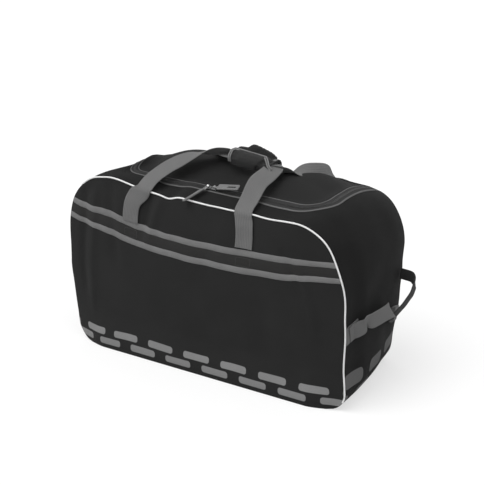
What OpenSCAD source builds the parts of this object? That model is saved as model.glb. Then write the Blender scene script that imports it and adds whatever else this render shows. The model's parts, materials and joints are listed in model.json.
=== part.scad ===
// Soft equipment bag: a stuffed fabric body with a zipped lid, two carrying handles and end grab handles.
// X runs along the bag, the front faces -Y, +Z is up, and the origin lies on the floor under the base.

/* [Body] */
// Overall length across the bulged ends
bag_length = 770; // [700:5:860]
// How much further in each end lies at the rear seam than at the front seam
rear_taper = 24; // [10:1:30]
// Overall depth across the bulged front and rear panels
bag_depth = 330; // [310:5:400]
// Height of the front and rear seams above the floor
seam_height = 412; // [390:2:460]
// How far the front and rear panels bulge past their seams
panel_bulge = 20; // [14:1:26]
// How far the ends bulge past a straight line between their seams
end_bulge = 9; // [8:1:14]
// How far the top crowns above the seams
top_crown = 24; // [18:1:32]
// Thickness of the fabric with its lining
fabric_t = 2; // [1.5:0.1:2.5]
// Thickness of the base panel
base_t = 3; // [2:0.1:5]
// Width of the right top corner at the front seam
right_corner_w = 140; // [120:5:150]
// Height of the right top corner at the front seam
right_corner_h = 185; // [150:5:195]
// Width of the right top corner at the rear seam, where it is fuller
right_rear_corner_w = 85; // [75:5:140]
// Height of the right top corner at the rear seam
right_rear_corner_h = 120; // [100:5:185]
// Width of the left top corner at the front seam, where it is fuller
left_corner_w = 85; // [70:5:110]
// Height of the left top corner at the front seam
left_corner_h = 115; // [90:5:140]
// Width of the left top corner at the rear seam
left_rear_corner_w = 200; // [110:5:205]
// Height of the left top corner at the rear seam
left_rear_corner_h = 210; // [140:5:215]
// Width of the rounded bottom corners at the front seam
front_foot_w = 45; // [30:1:60]
// Height of the rounded bottom corners at the front seam
front_foot_h = 45; // [30:1:60]
// Width of the rounded bottom corners at the rear seam
rear_foot_w = 62; // [40:1:70]
// Height of the rounded bottom corners at the rear seam
rear_foot_h = 150; // [60:5:155]
// Diameter of the piping
piping_d = 4; // [3:0.2:5]
// Height of the piping's lower ends above the floor
piping_start = 20; // [10:1:40]

/* [Base board] */
// Thickness of the loose base board
board_t = 3; // [2:0.1:5]
// Gap between the board and the walls
board_gap = 14; // [8:1:30]

/* [Trim] */
// Distance from the top seam down to the middle of the dark band
band_drop = 112; // [105:1:118]
// Height of the dark band between the stripes
band_h = 25; // [20:1:30]
// Height of each grey stripe
stripe_h = 15; // [10:1:18]
// How much higher the trim sits at the left end of a panel, seen from its own side
band_rise_left = 34; // [10:1:36]
// How much higher the trim sits at the right end of a panel
band_rise_right = 21; // [10:1:24]
// Thickness of the stripes and the band
trim_t = 1.2; // [0.8:0.1:2]

/* [Lid and zip] */
// Place of the lid's large soft hump, as a part of the zip's half length
lid_hump_part = -0.25; // [-0.35:0.01:-0.2]
// Height of the large hump
lid_hump_h = 40; // [20:1:42]
// Half width of the large hump
lid_hump_w = 130; // [100:5:140]
// Place of the lid's small hump, as a part of the zip's half length
side_hump_part = 0.68; // [0.6:0.01:0.7]
// Height of the small hump
side_hump_h = 28; // [10:1:30]
// Half width of the small hump
side_hump_w = 90; // [70:5:100]
// Distance from the end of the bag to the zip
zip_end_margin = 105; // [100:1:120]
// Distance from the front seam back to the zip
zip_setback = 55; // [46:1:60]
// Radius of the zip's front corners
zip_corner_r = 70; // [50:1:80]
// Distance from the rear seam forward to the lid's fold
fold_setback = 15; // [12:1:22]
// Radius of the bound fold that the lid turns on
fold_r = 2; // [1.5:0.1:2.5]
// Width of each zip tape
tape_w = 14; // [10:0.5:16]
// Thickness of the zip tape
tape_t = 1; // [0.8:0.1:1.4]
// Width of one row of teeth
teeth_w = 2.3; // [2:0.1:2.6]
// Height of the teeth above the fabric
teeth_h = 2.2; // [1.8:0.1:2.6]
// Place of the left slider along the zip
left_slider_x = -16; // [-22:1:-14]
// Place of the right slider along the zip
right_slider_x = 0; // [-2:1:8]
// Length of a slider
slider_l = 14; // [11:0.5:14]
// Length of a pull tab
pull_tab_l = 58; // [40:1:60]
// Width of a pull tab
pull_tab_w = 16; // [10:0.5:18]
// Thickness of a pull tab
pull_tab_t = 3; // [2:0.1:3.5]
// Length of the metal link between a slider and its tab
pull_link_l = 20; // [16:1:22]
// Radius of the slider's bridge bar
bridge_r = 1.2; // [1:0.1:1.5]
// Tilt of the tab that lies along the zip, in degrees
lying_tab_tilt = 40; // [10:1:45]

/* [Carrying handles] */
// Width of the handle webbing
strap_w = 38; // [30:1:40]
// Thickness of the handle webbing
strap_t = 2.2; // [1.6:0.1:2.6]
// Place of each handle's left leg, seen from its own side
left_leg_x = -184; // [-200:1:-170]
// Place of each handle's right leg, seen from its own side
right_leg_x = 126; // [120:1:140]
// How far the left leg leans to the right up to the seam
left_leg_lean = 22; // [0:1:24]
// How far the right leg leans to the left up to the seam
right_leg_lean = 12; // [0:1:14]
// Height of the middle of the grip above the crown of the top
grip_rise = 55; // [50:1:65]
// Height between the two loops in the grip
loop_spacing = 6; // [5.5:0.1:8]
// Left end of the padded wrap
wrap_left_x = -8; // [-15:1:0]
// Right end of the padded wrap
wrap_right_x = 104; // [95:1:105]
// Wall of the padded wrap
wrap_wall = 6; // [4:0.5:7]
// Radius of the bend where a loop turns level for the grip
loop_bend_r = 40; // [30:1:45]
// Length of the upright webbing before a loop leans over
loop_upright = 20; // [15:1:30]
// Radius of the fold that a loop turns on
loop_fold_r = 2; // [1.6:0.1:2.2]

/* [End handles] */
// Height of the grab handles above the floor
grab_z = 185; // [180:1:200]
// Distance between the sewn tabs of a grab handle
grab_span = 232; // [200:1:240]
// How far a grab handle stands out from its turning line
grab_bulge = 24; // [22:1:26]
// Radius of the rolled ends of a grab handle
grab_roll_r = 2.5; // [2:0.1:3]
// Width of the grab handle's gathered ends
grab_end_w = 6; // [5:0.5:7]
// Thickness of the sewn tabs
sewn_tab_t = 2.2; // [1.5:0.1:3]
// Width of the black loop's webbing
loop_w = 26; // [20:1:28]
// Thickness of the black loop's webbing
loop_t = 2.2; // [1.6:0.1:2.6]
// Height of the black loop's upper end
loop_top_z = 238; // [230:1:245]
// How far the black loop falls from its upper end to its lower end
loop_drop = 101; // [98:1:106]
// Distance from the rear seam forward to the black loop's upper end
loop_start_setback = 20; // [18:1:24]
// Distance forward from the black loop's upper end to its lower end
loop_run = 140; // [130:1:150]
// How far the black loop stands out past the grab handle's turning line
loop_standoff = 34; // [33:1:40]

/* [Hidden] */
$fn = 40;

// How far a sewn tab runs under the rolled end of its grab handle
tab_overlap = 8;
// Clearances: cloth lying on cloth, edges beside a seam, and the gap between the two rows of teeth
lay_gap = 0.3;
edge_gap = 0.4;
teeth_gap = 0.4;
// Half the width of the cut that the zip closes
zip_cut = 3;
// Shape of the bulge of the front and rear panels, larger is flatter in the middle
bulge_power = 2.6;
// Directions and rings that draw a bulged panel, closer together round the bottom corners
panel_angles = concat([for (a = [-54:3:-33]) a], [for (a = [-30:6:210]) a],
    [for (a = [213:3:234]) a], [for (a = [240:6:300]) a]);
panel_rings = [0.3, 0.55, 0.75, 0.9, 1];

black = [0.12, 0.12, 0.12];
dark = [0.17, 0.17, 0.16];
grey = [0.45, 0.45, 0.46];
white = [0.95, 0.95, 0.95];
metal = [0.75, 0.75, 0.77];

seam_y = bag_depth / 2 - panel_bulge - fabric_t;
// The widest place between the seams, as a share of the depth, sets how long the front seam is
widest_v = max(0, (1 - rear_taper / (4 * end_bulge)) / 2);
front_hw = bag_length / 2 + rear_taper * widest_v - end_bulge * swell(widest_v);
mid_z = seam_height / 2;
band_z = seam_height - band_drop;
grip_z = seam_height + top_crown + grip_rise;
zip_x = bag_length / 2 - zip_end_margin;
zip_y = -(seam_y - zip_setback);
fold_y = seam_y - fold_setback;

// General helpers
function mix(a, b, t) = a + (b - a) * t;
function flat(rows) = [for (row = rows) for (p = row) p];
function unit(p) = p / norm(p);

// The body between the front seam (v = 0) and the rear seam (v = 1)
function v_at(y) = (y + seam_y) / (2 * seam_y);
function swell(v) = 4 * v * (1 - v);
function seam_hw(v) = front_hw - rear_taper * v;
function half_length(v) = seam_hw(v) + end_bulge * swell(v);
function height(v) = seam_height + top_crown * swell(v);
function foot_w(v) = mix(front_foot_w, rear_foot_w, v);
function foot_h(v) = mix(front_foot_h, rear_foot_h, v);
function corner_w(x, v) =
    x < 0 ? mix(left_corner_w, left_rear_corner_w, v) : mix(right_corner_w, right_rear_corner_w, v);
function corner_h(x, v) =
    x < 0 ? mix(left_corner_h, left_rear_corner_h, v) : mix(right_corner_h, right_rear_corner_h, v);
// How far a point is round the top corner, from 0 at its start to 1 at the end wall
function corner_part(x, v) = max(0, min(1, 1 - (half_length(v) - abs(x)) / corner_w(x, v)));
function top_z(x, y) =
    let (v = v_at(y), e = corner_part(x, v)) height(v) - corner_h(x, v) * (1 - sqrt(1 - e * e));
function top_normal(x, y) =
    let (v = v_at(y), e = corner_part(x, v),
        n = unit([e / corner_w(x, v), sqrt(1 - e * e) / corner_h(x, v)]))
    [x < 0 ? -n.x : n.x, 0, n.y];
fold_z = top_z(0, fold_y) - fabric_t / 2;
zip_slope = atan(top_crown * 4 * (1 - 2 * v_at(zip_y)) / (2 * seam_y));

// A seam's outline, and the bulged panel inside it, with x to the right as seen from the panel's own side
function world_x(x, v) = v > 0.5 ? -x : x;
function in_corner(dx, dz, w, h) = pow(dx / w, 2) + pow(dz / h, 2) <= 1;
function inside_seam(x, z, v) =
    let (dx = abs(x) - seam_hw(v), cw = corner_w(world_x(x, v), v), ch = corner_h(world_x(x, v), v),
        fw = foot_w(v), fh = foot_h(v))
    dx > 0 || z < 0 || z > seam_height ? false :
    dx + cw > 0 && z > seam_height - ch ? in_corner(dx + cw, z - seam_height + ch, cw, ch) :
    dx + fw > 0 && z < fh ? in_corner(dx + fw, fh - z, fw, fh) : true;
// 0 at the middle of the panel and 1 on its seam, found by halving
function reach(x, z, v, low = 0.001, high = 1.5, steps = 18) =
    let (m = (low + high) / 2)
    steps == 0 ? high :
    inside_seam(x / m, mid_z + (z - mid_z) / m, v) ? reach(x, z, v, low, m, steps - 1) :
    reach(x, z, v, m, high, steps - 1);
function bulge_at(part) = seam_y + fabric_t + panel_bulge * (1 - pow(min(1, part), bulge_power));
function panel_point(x, z, v, lift) = [x, -bulge_at(reach(x, z, v)) - lift, z];
function seam_point(angle, v) =
    let (x = front_hw * cos(angle), z = mid_z * sin(angle), r = reach(x, mid_z + z, v))
    [x / r, mid_z + z / r];
// Where the seam lies at a height, on the side of the panel that x is on
function seam_reach(x, z, v) =
    let (cw = corner_w(world_x(x, v), v), ch = corner_h(world_x(x, v), v),
        e = max(0, (z - seam_height + ch) / ch))
    seam_hw(v) - cw * (1 - sqrt(1 - e * e));

// A sheet with thickness: two grids of points, the outer one seen with columns to the right and rows up
module sheet(outer, inner) {
    nr = len(outer);
    nc = len(outer[0]);
    n = nr * nc;
    faces = [for (i = [0:nr - 2], j = [0:nc - 2]) let (a = i * nc + j, b = a + 1, d = a + nc, c = d + 1)
        each [[a, d, c], [a, c, b], [n + a, n + b, n + c], [n + a, n + c, n + d]]];
    left = [for (i = [0:nr - 2]) let (a = i * nc, d = a + nc) each [[d, a, n + a], [d, n + a, n + d]]];
    right = [for (i = [0:nr - 2]) let (b = i * nc + nc - 1, c = b + nc)
        each [[b, c, n + c], [b, n + c, n + b]]];
    near = [for (a = [0:nc - 2]) each [[a, a + 1, n + a + 1], [a, n + a + 1, n + a]]];
    far = [for (j = [0:nc - 2]) let (d = (nr - 1) * nc + j, c = d + 1)
        each [[c, d, n + d], [c, n + d, n + c]]];
    polyhedron(concat(flat(outer), flat(inner)), concat(faces, left, right, near, far), convexity = 8);
}

// A solid swept through rings of points, each ring anticlockwise when seen from ahead
module sweep(rings) {
    m = len(rings[0]);
    n = len(rings);
    sides = [for (i = [0:n - 2], k = [0:m - 1]) let (p = i * m + k, q = i * m + (k + 1) % m)
        each [[p, p + m, q + m], [p, q + m, q]]];
    tail = [for (k = [1:m - 2]) [0, k, k + 1]];
    head = [for (k = [1:m - 2]) let (o = (n - 1) * m) [o, o + k + 1, o + k]];
    polyhedron(flat(rings), concat(sides, tail, head), convexity = 8);
}

// A flat strap's ring: side and face are half its width and half its thickness
function strap_ring(p, side, face) = [p - side - face, p + side - face, p + side + face, p - side + face];

module turned(rear) {
    rotate([0, 0, rear ? 180 : 0]) children();
}

// Front and rear panels, both drawn as seen from their own side
module bulged_panel(v) {
    rays = [for (a = panel_angles) seam_point(a, v)];
    rings = [for (r = panel_rings) [for (p = rays) [p.x * r, -bulge_at(r), mid_z + (p.y - mid_z) * r]]];
    outer = concat([[0, -bulge_at(0), mid_z]], flat(rings));
    inner = [for (p = outer) p + [0, fabric_t, 0]];
    n = len(outer);
    k = len(rays);
    hub = [for (i = [0:k - 1]) let (a = 1 + i, b = 1 + (i + 1) % k) each [[0, b, a], [n, n + a, n + b]]];
    cells = [for (r = [0:len(panel_rings) - 2], i = [0:k - 1])
        let (a = 1 + r * k + i, b = 1 + r * k + (i + 1) % k, c = b + k, d = a + k)
        each [[a, b, c], [a, c, d], [n + a, n + c, n + b], [n + a, n + d, n + c]]];
    rim = [for (i = [0:k - 1]) let (o = 1 + (len(panel_rings) - 1) * k, a = o + i, b = o + (i + 1) % k)
        each [[a, b, n + b], [a, n + b, n + a]]];
    color(black) polyhedron(concat(outer, inner), concat(hub, cells, rim), convexity = 8);
}

// Piping along a seam, up one side, over the top and down the other
module piping(v) {
    r = piping_d / 2;
    lift = r + lay_gap;
    low = -atan((mid_z - piping_start) / mid_z);
    sides = 8;
    route = [for (a = panel_angles) if (a > low && a < 180 - low) seam_point(a, v)];
    steps = len(route) - 1;
    color(white) sweep([for (i = [0:steps])
        let (t = unit(route[min(steps, i + 1)] - route[max(0, i - 1)]), n = [t.y, 0, -t.x],
            c = [route[i].x, -seam_y - r, route[i].y] + lift * n)
        [for (k = [0:sides - 1]) let (a = k * 360 / sides) c + r * (cos(a) * n + sin(a) * [0, 1, 0])]]);
}

// Trim across a panel: low and high are measured from the middle of the dark band
function end_rise(x) = x < 0 ? band_rise_left : band_rise_right;
module trim(low, high, v, tone) {
    columns = 32;
    rows = 4;
    function row(level, lift) =
        [for (i = [0:columns])
            let (t = 2 * i / columns - 1, z = band_z + level,
                w = seam_reach(t, z + end_rise(t), v) - fabric_t)
            panel_point(w * t, z + end_rise(t) * t * t, v, lift)];
    levels = [for (i = [0:rows]) mix(low + edge_gap / 2, high - edge_gap / 2, i / rows)];
    color(tone) sheet(
        [for (l = levels) row(l, lay_gap + trim_t)],
        [for (l = levels) row(l, lay_gap)]);
}

module upper_stripe(v) {
    trim(band_h / 2, band_h / 2 + stripe_h, v, grey);
}

module dark_band(v) {
    trim(-band_h / 2, band_h / 2, v, dark);
}

module lower_stripe(v) {
    trim(-band_h / 2 - stripe_h, -band_h / 2, v, grey);
}

// Base panel: flat on the floor, as long as the straight part of the bottom
function base_half(y) = half_length(v_at(y)) - foot_w(v_at(y));

module base_outline(inset) {
    rows = [for (y = gusset_rows) [base_half(y) - inset, y * (seam_y - inset) / seam_y]];
    polygon(concat(rows, [for (i = [len(rows) - 1:-1:0]) [-rows[i].x, rows[i].y]]));
}

module base_panel() {
    color(black) linear_extrude(base_t) base_outline(0);
}

module base_board() {
    color(dark) translate([0, 0, base_t]) linear_extrude(board_t) base_outline(board_gap);
}

// The gusset: ends and border round the lid
function opening_half(y) =
    y <= zip_y - zip_cut ? zip_x - zip_corner_r :
    y >= zip_y + zip_corner_r ? zip_x + zip_cut :
    zip_x - zip_corner_r + sqrt(pow(zip_corner_r + zip_cut, 2) - pow(zip_y + zip_corner_r - y, 2));
strip_rows = [for (i = [0:3]) mix(-seam_y, zip_y - zip_cut, i / 3)];
corner_rows = [for (a = [15:15:90]) zip_y + zip_corner_r - (zip_corner_r + zip_cut) * cos(a)];
side_rows = [for (i = [1:6]) mix(zip_y + zip_corner_r, seam_y, i / 6)];
gusset_rows = concat(strip_rows, corner_rows, side_rows);

// One row of an end, from the lid's opening over the top corner and down to the base: [x, z, normal].
// Both ends are drawn towards +X, with side = -1 for the left one
function end_row(y, side) =
    let (v = v_at(y), h = half_length(v), start = opening_half(y), fw = foot_w(v), fh = foot_h(v))
    concat(
        [for (i = [0:9])
            let (x = mix(start, h, sin(i * 9)), n = i == 0 ? [0, 0, 1] : top_normal(side * x, y))
            [x, top_z(side * x, y), [abs(n.x), 0, n.z]]],
        [for (i = [0:3]) [h, mix(height(v) - corner_h(side, v), fh, i / 4), [1, 0, 0]]],
        [for (a = [0:-15:-90])
            [h - fw + fw * cos(a), fh + fh * sin(a), unit([cos(a) / fw, 0, sin(a) / fh])]]);

module gusset_end(side) {
    color(black) mirror([side < 0 ? 1 : 0, 0, 0]) sheet(
        [for (y = gusset_rows) [for (p = end_row(y, side)) [p.x, y, p.y]]],
        [for (y = gusset_rows) [for (p = end_row(y, side)) [p.x, y, p.y] - fabric_t * p.z]]);
}

module top_sheet(rows, half, columns) {
    function grid(drop) = [for (y = rows) [for (i = [0:columns])
        let (x = mix(-half, half, i / columns)) [x, y, top_z(x, y) - drop]]];
    color(black) sheet(grid(0), grid(fabric_t));
}

module gusset_front_strip() {
    top_sheet(strip_rows, zip_x - zip_corner_r, 4);
}

module gusset_rear_strip() {
    first = fold_y + fold_r + lay_gap;
    top_sheet([first, mix(first, seam_y, 0.5), seam_y], zip_x + zip_cut, 24);
}

// The zip's route round the lid, from the right rear end to the left rear end: [x, y, outward normal]
zip_end_tab_l = 8;
zip_rear = fold_y - fold_r - zip_end_tab_l;
zip_half_route = concat(
    [for (i = [0:7]) [zip_x, mix(zip_rear, zip_y + zip_corner_r, i / 8), [1, 0]]],
    [for (a = [0:10:90]) [zip_x - zip_corner_r * (1 - cos(a)), zip_y + zip_corner_r * (1 - sin(a)),
        [cos(a), -sin(a)]]]);
zip_route = concat(zip_half_route,
    [for (i = [len(zip_half_route) - 1:-1:0]) let (p = zip_half_route[i]) [-p.x, p.y, [-p.z.x, p.z.y]]]);

module zip_strip(route, side_in, side_out, low, high) {
    function at(p, side, lift) =
        let (x = p.x + p.z.x * side, y = p.y + p.z.y * side) [x, y, top_z(x, y) + lift];
    sweep([for (p = route)
        [at(p, side_in, low), at(p, side_out, low), at(p, side_out, high), at(p, side_in, high)]]);
}

tape_in = teeth_gap / 2 + teeth_w + lay_gap;
tape_out = tape_in + tape_w;

module outer_zip_tape() {
    color(grey) zip_strip(zip_route, tape_in, tape_out, lay_gap, lay_gap + tape_t);
}

module outer_zip_teeth() {
    color(dark) zip_strip(zip_route, teeth_gap / 2, teeth_gap / 2 + teeth_w, -fabric_t / 2, teeth_h);
}

module inner_zip_tape() {
    color(grey) zip_strip(zip_route, -tape_out, -tape_in, lay_gap, lay_gap + tape_t);
}

module inner_zip_teeth() {
    color(dark) zip_strip(zip_route, -teeth_gap / 2 - teeth_w, -teeth_gap / 2, -fabric_t / 2, teeth_h);
}

module zip_end_tabs() {
    back = fold_y - fold_r;
    front = zip_rear + lay_gap;
    color(dark) {
        zip_strip([[zip_x, back, [1, 0]], [zip_x, front, [1, 0]]],
            tape_in, tape_out, lay_gap, lay_gap + 2 * tape_t);
        zip_strip([[-zip_x, front, [-1, 0]], [-zip_x, back, [-1, 0]]],
            tape_in, tape_out, lay_gap, lay_gap + 2 * tape_t);
    }
}

// Lid: the fabric inside the zip, hung on its bound fold at the rear
function lid_half(y) =
    y >= zip_y + zip_corner_r ? zip_x - zip_cut :
    zip_x - zip_corner_r + sqrt(max(0, pow(zip_corner_r - zip_cut, 2) - pow(zip_y + zip_corner_r - y, 2)));

lid_rear = fold_y - fold_r - lay_gap;
// Flat cloth between the tape and the slack
flat_border = 16;
// How far the slack lid stands above the top's own shape; its sewn border lies flat
function hump(x, part, w) = exp(-pow((x - part * zip_x) / w, 2));
function lid_rise(x, y) =
    let (border = zip_y + tape_out + flat_border / 2, p = (y - border) / (lid_rear - border),
        side = lid_half(y) - tape_out - flat_border)
    p <= 0 || abs(x) >= side ? 0 :
    (lid_hump_h * hump(x, lid_hump_part, lid_hump_w) + side_hump_h * hump(x, side_hump_part, side_hump_w))
        * sin(180 * p) * (1 - pow(x / side, 4));

module lid_panel() {
    rows = concat(
        [for (a = [0:15:90]) zip_y + zip_corner_r - (zip_corner_r - zip_cut) * cos(a)],
        [for (i = [1:8]) mix(zip_y + zip_corner_r, lid_rear, i / 8)]);
    columns = 36;
    function across(y, drop) = [for (i = [0:columns])
        let (x = lid_half(y) * (2 * i / columns - 1)) [x, y, top_z(x, y) + lid_rise(x, y) - drop]];
    color(black) sheet([for (y = rows) across(y, 0)], [for (y = rows) across(y, fabric_t)]);
}

module lid_fold() {
    v = v_at(fold_y);
    half = half_length(v) - max(corner_w(-1, v), corner_w(1, v));
    color(black) translate([-half, fold_y, fold_z]) rotate([0, 90, 0]) cylinder(r = fold_r, h = 2 * half);
}

// Zip sliders and their pulls, drawn on the zip's own slope
plate_low = teeth_h + edge_gap;
plate_t = 1.8;
plate_side = 3;
plate_w = 2 * (teeth_w + teeth_gap + plate_side);
flange_w = 1.2;
flange_in = teeth_gap / 2 + teeth_w + teeth_h * sin(zip_slope) + lay_gap;
flange_low = lay_gap + tape_t + edge_gap;
post_t = 1.4;
eye_r = 2.8;
eye_clear = 0.3;
eye_l = 5;
bridge_half = eye_l / 2 + lay_gap;
bridge_h = plate_low + plate_t + eye_r + lay_gap;
link_t = 1.6;
link_w = 8;

module on_zip(x) {
    translate([x, zip_y, top_z(x, zip_y)]) rotate([zip_slope, 0, 0]) children();
}

// The bridge bar lies along local X, or along local Y when it is turned
module slider(bar_turn) {
    color(metal) {
        translate([-slider_l / 2, -plate_w / 2, plate_low]) cube([slider_l, plate_w, plate_t]);
        for (side = [0, 1]) mirror([0, side, 0])
            translate([-slider_l / 2, flange_in, flange_low])
                cube([slider_l, flange_w, plate_low - flange_low]);
        rotate([0, 0, bar_turn]) {
            for (side = [0, 1]) mirror([side, 0, 0])
                translate([bridge_half, -bridge_r, plate_low])
                    cube([post_t, 2 * bridge_r, bridge_h - plate_low + bridge_r]);
            translate([-bridge_half, 0, bridge_h]) rotate([0, 90, 0])
                cylinder(r = bridge_r, h = 2 * bridge_half);
        }
    }
}

// Pull parts point along local -Y from a bridge bar along local X
neck_l = 2;
tab_corner_r = 3;

module pull_link() {
    color(metal) translate([0, 0, bridge_h]) difference() {
        union() {
            translate([-eye_l / 2, 0, 0]) rotate([0, 90, 0]) cylinder(r = eye_r, h = eye_l);
            translate([-eye_l / 2, -eye_r - neck_l, -link_t / 2]) cube([eye_l, eye_r + neck_l, link_t]);
            translate([-link_w / 2, -pull_link_l, -link_t / 2])
                cube([link_w, pull_link_l - eye_r - neck_l, link_t]);
        }
        translate([-eye_l, 0, 0]) rotate([0, 90, 0]) cylinder(r = bridge_r + eye_clear, h = 2 * eye_l);
    }
}

module pull_tab(tilt) {
    lift = max(0, pull_tab_w / 2 * sin(tilt) + pull_tab_t / 2 + flange_low - bridge_h);
    color(grey) translate([0, -pull_link_l - lay_gap, bridge_h + lift]) rotate([0, tilt, 0])
        translate([0, -pull_tab_l / 2, -pull_tab_t / 2]) linear_extrude(pull_tab_t)
            offset(r = tab_corner_r)
                square([pull_tab_w - 2 * tab_corner_r, pull_tab_l - 2 * tab_corner_r], center = true);
}

lying_turn = 90;

module left_slider() {
    on_zip(left_slider_x) slider(0);
}

module left_pull_link() {
    on_zip(left_slider_x) pull_link();
}

module left_pull_tab() {
    on_zip(left_slider_x) pull_tab(0);
}

module right_slider() {
    on_zip(right_slider_x) slider(lying_turn);
}

module right_pull_link() {
    on_zip(right_slider_x) rotate([0, 0, lying_turn]) pull_link();
}

module right_pull_tab() {
    on_zip(right_slider_x) rotate([0, 0, lying_turn]) pull_tab(-lying_tab_tilt);
}

// Carrying handles: each sewn leg climbs its panel, and the loop turns on a fold above the seam
leg_lift = piping_d - fabric_t + lay_gap;
loop_fold_rise = 3;
loop_fold_out = 1;
loop_axis_z = seam_height + loop_fold_rise;
leg_top = loop_axis_z - loop_fold_r - lay_gap;
loop_axis_y = -(seam_y + fabric_t + leg_lift + strap_t + loop_fold_out);

module handle_leg(x, top_x, v) {
    low = band_z + band_h / 2 + stripe_h + edge_gap;
    trim_half = seam_reach(x, low + end_rise(x), v) - fabric_t;
    rows = 7;
    columns = 4;
    function leg_grid(extra) = [for (i = [0:rows]) [for (j = [0:columns])
        let (px = mix(x, top_x, pow(i / rows, 2)) + strap_w * (j / columns - 0.5),
            z = mix(low + end_rise(x) * pow(px / trim_half, 2), leg_top, i / rows))
        panel_point(px, z, v, mix(lay_gap, leg_lift, i / rows) + extra)]];
    color(grey) sheet(leg_grid(strap_t), leg_grid(0));
}

// A loop's side view: straight up from the fold, round a bend, then level for the grip
function bend_centre(level) = [-strap_w / 2 - edge_gap, level - loop_bend_r];
function lean(level) =
    let (d = bend_centre(level) - [loop_axis_y, loop_axis_z])
    atan2(d.x, d.y) - asin(loop_bend_r / norm(d));
function straight_part(level) =
    let (d = bend_centre(level) - [loop_axis_y, loop_axis_z]) sqrt(d * d - pow(loop_bend_r, 2));
function bend_part(level) = loop_bend_r * (90 - lean(level)) * PI / 180;
// Angle from upright at a distance s along the loop, and the point there: [angle, y, z]
function loop_side(s, level) =
    let (l1 = straight_part(level), l2 = bend_part(level), a = lean(level), c = bend_centre(level))
    s <= l1 ? [a, loop_axis_y + s * sin(a), loop_axis_z + s * cos(a)] :
    s <= l1 + l2 ? let (g = a + (s - l1) / loop_bend_r * 180 / PI)
        [g, c.x - loop_bend_r * cos(g), c.y + loop_bend_r * sin(g)] :
    [90, c.x + s - l1 - l2, level];
function grip_s(level) = straight_part(level) + bend_part(level) + strap_w / 2 + edge_gap;

function split(points, steps) = concat(
    [for (i = [0:len(points) - 2], k = [0:steps - 1]) mix(points[i], points[i + 1], k / steps)],
    [points[len(points) - 1]]);
function turn_left(t) = [-t.y, t.x];

left_top_x = left_leg_x + left_leg_lean;
right_top_x = right_leg_x - right_leg_lean;
// How far a loop runs level past the end of the wrap before its inner edge turns down
grip_run = 6;
// The bow of a loop on its way to the grip: [share of the way sideways, share of the way up]
loop_bow = [[0.03, 0.14], [0.18, 0.38], [0.4, 0.6], [0.66, 0.8]];

module handle_loop(left_x, right_x, grip_left, grip_right, level) {
    top = grip_s(level);
    run = strap_w / 2 + grip_run;
    function bow(x, end) = [for (b = loop_bow) [mix(x, end, b.x), mix(loop_upright, top, b.y)]];
    right_bow = bow(right_x, grip_right + run);
    corners = concat([[left_x, 0], [left_x, loop_upright]], bow(left_x, grip_left - run),
        [[grip_left - run, top], [grip_right + run, top]],
        [for (i = [len(right_bow) - 1:-1:0]) right_bow[i]], [[right_x, loop_upright], [right_x, 0]]);
    route = split(corners, 3);
    last = len(route) - 1;
    function side_at(i) =
        let (a = turn_left(unit(route[max(1, i)] - route[max(1, i) - 1])),
            b = turn_left(unit(route[min(last, i + 1)] - route[min(last, i + 1) - 1])))
        (a + b) / (1 + a * b) * strap_w / 2;
    function at(p, h) =
        let (q = loop_side(p.y, level)) [p.x, q.y - h * cos(q.x), q.z + h * sin(q.x)];
    color(grey) {
        sweep([for (i = [0:last]) let (p = route[i], w = side_at(i), h = strap_t / 2)
            [at(p - w, -h), at(p + w, -h), at(p + w, h), at(p - w, h)]]);
        for (x = [left_x, right_x]) translate([x - strap_w / 2, loop_axis_y, loop_axis_z])
            rotate([0, 90, 0]) cylinder(r = loop_fold_r, h = strap_w);
    }
}

module front_handle_loop() {
    handle_loop(left_top_x, right_top_x, wrap_left_x, wrap_right_x, grip_z + loop_spacing / 2);
}

module rear_handle_loop() {
    turned(true)
        handle_loop(left_top_x, right_top_x, -wrap_right_x, -wrap_left_x, grip_z - loop_spacing / 2);
}

module handle_wrap() {
    inner_w = strap_w + 2 * edge_gap;
    inner_h = loop_spacing + strap_t + 2 * lay_gap;
    color(black) translate([wrap_left_x, 0, grip_z]) rotate([90, 0, 90])
        linear_extrude(wrap_right_x - wrap_left_x)
        difference() {
            offset(r = wrap_wall) square([inner_w, inner_h], center = true);
            square([inner_w, inner_h], center = true);
        }
}

// Grab handles: gathered ends roll on two sewn tabs, and the webbing between stands out from the end
grab_half = grab_span / 2;
tab_half = grab_half - tab_overlap;
tab_front_x = half_length(v_at(-tab_half));
tab_rear_x = half_length(v_at(tab_half));
// The turning line runs from tab to tab, so it slants as the end does
grab_turn = atan((tab_front_x - tab_rear_x) / (2 * tab_half));
grab_axis_x = (tab_front_x + tab_rear_x) / 2 + (2 * lay_gap + sewn_tab_t + grab_roll_r) / cos(grab_turn);

module grab_handle() {
    steps = 24;
    taper = 0.14;
    shape = 2.5;
    roll_l = 6;
    half = grab_half / cos(grab_turn) - sewn_tab_t;
    function at(t) = [grab_bulge * (1 - pow(abs(2 * t - 1), shape)), mix(-half, half, t), 0];
    color(grey) translate([grab_axis_x, 0, grab_z]) rotate([0, 0, grab_turn]) {
        sweep([for (i = [0:steps]) let (t = i / steps, d = at(min(1, t + 0.02)) - at(max(0, t - 0.02)),
            n = unit([d.y, -d.x, 0]), w = mix(grab_end_w, strap_w, min(1, min(t, 1 - t) / taper)))
            strap_ring(at(t), [0, 0, w / 2], n * strap_t / 2)]);
        for (y = [-half, half - roll_l]) translate([0, y, 0]) rotate([-90, 0, 0])
            cylinder(r = grab_roll_r, h = roll_l);
    }
}

module sewn_tabs() {
    color(grey) for (side = [-1, 1]) translate([0, 0, grab_z - strap_w / 2]) linear_extrude(strap_w) {
        rows = [for (i = [0:4]) side * mix(tab_half, seam_y - edge_gap, i / 4)];
        wall = [for (y = rows) half_length(v_at(y)) + lay_gap];
        polygon(concat([for (i = [0:4]) [wall[i], rows[i]]],
            [for (i = [4:-1:0]) [wall[i] + sewn_tab_t, rows[i]]]));
    }
}

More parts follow.
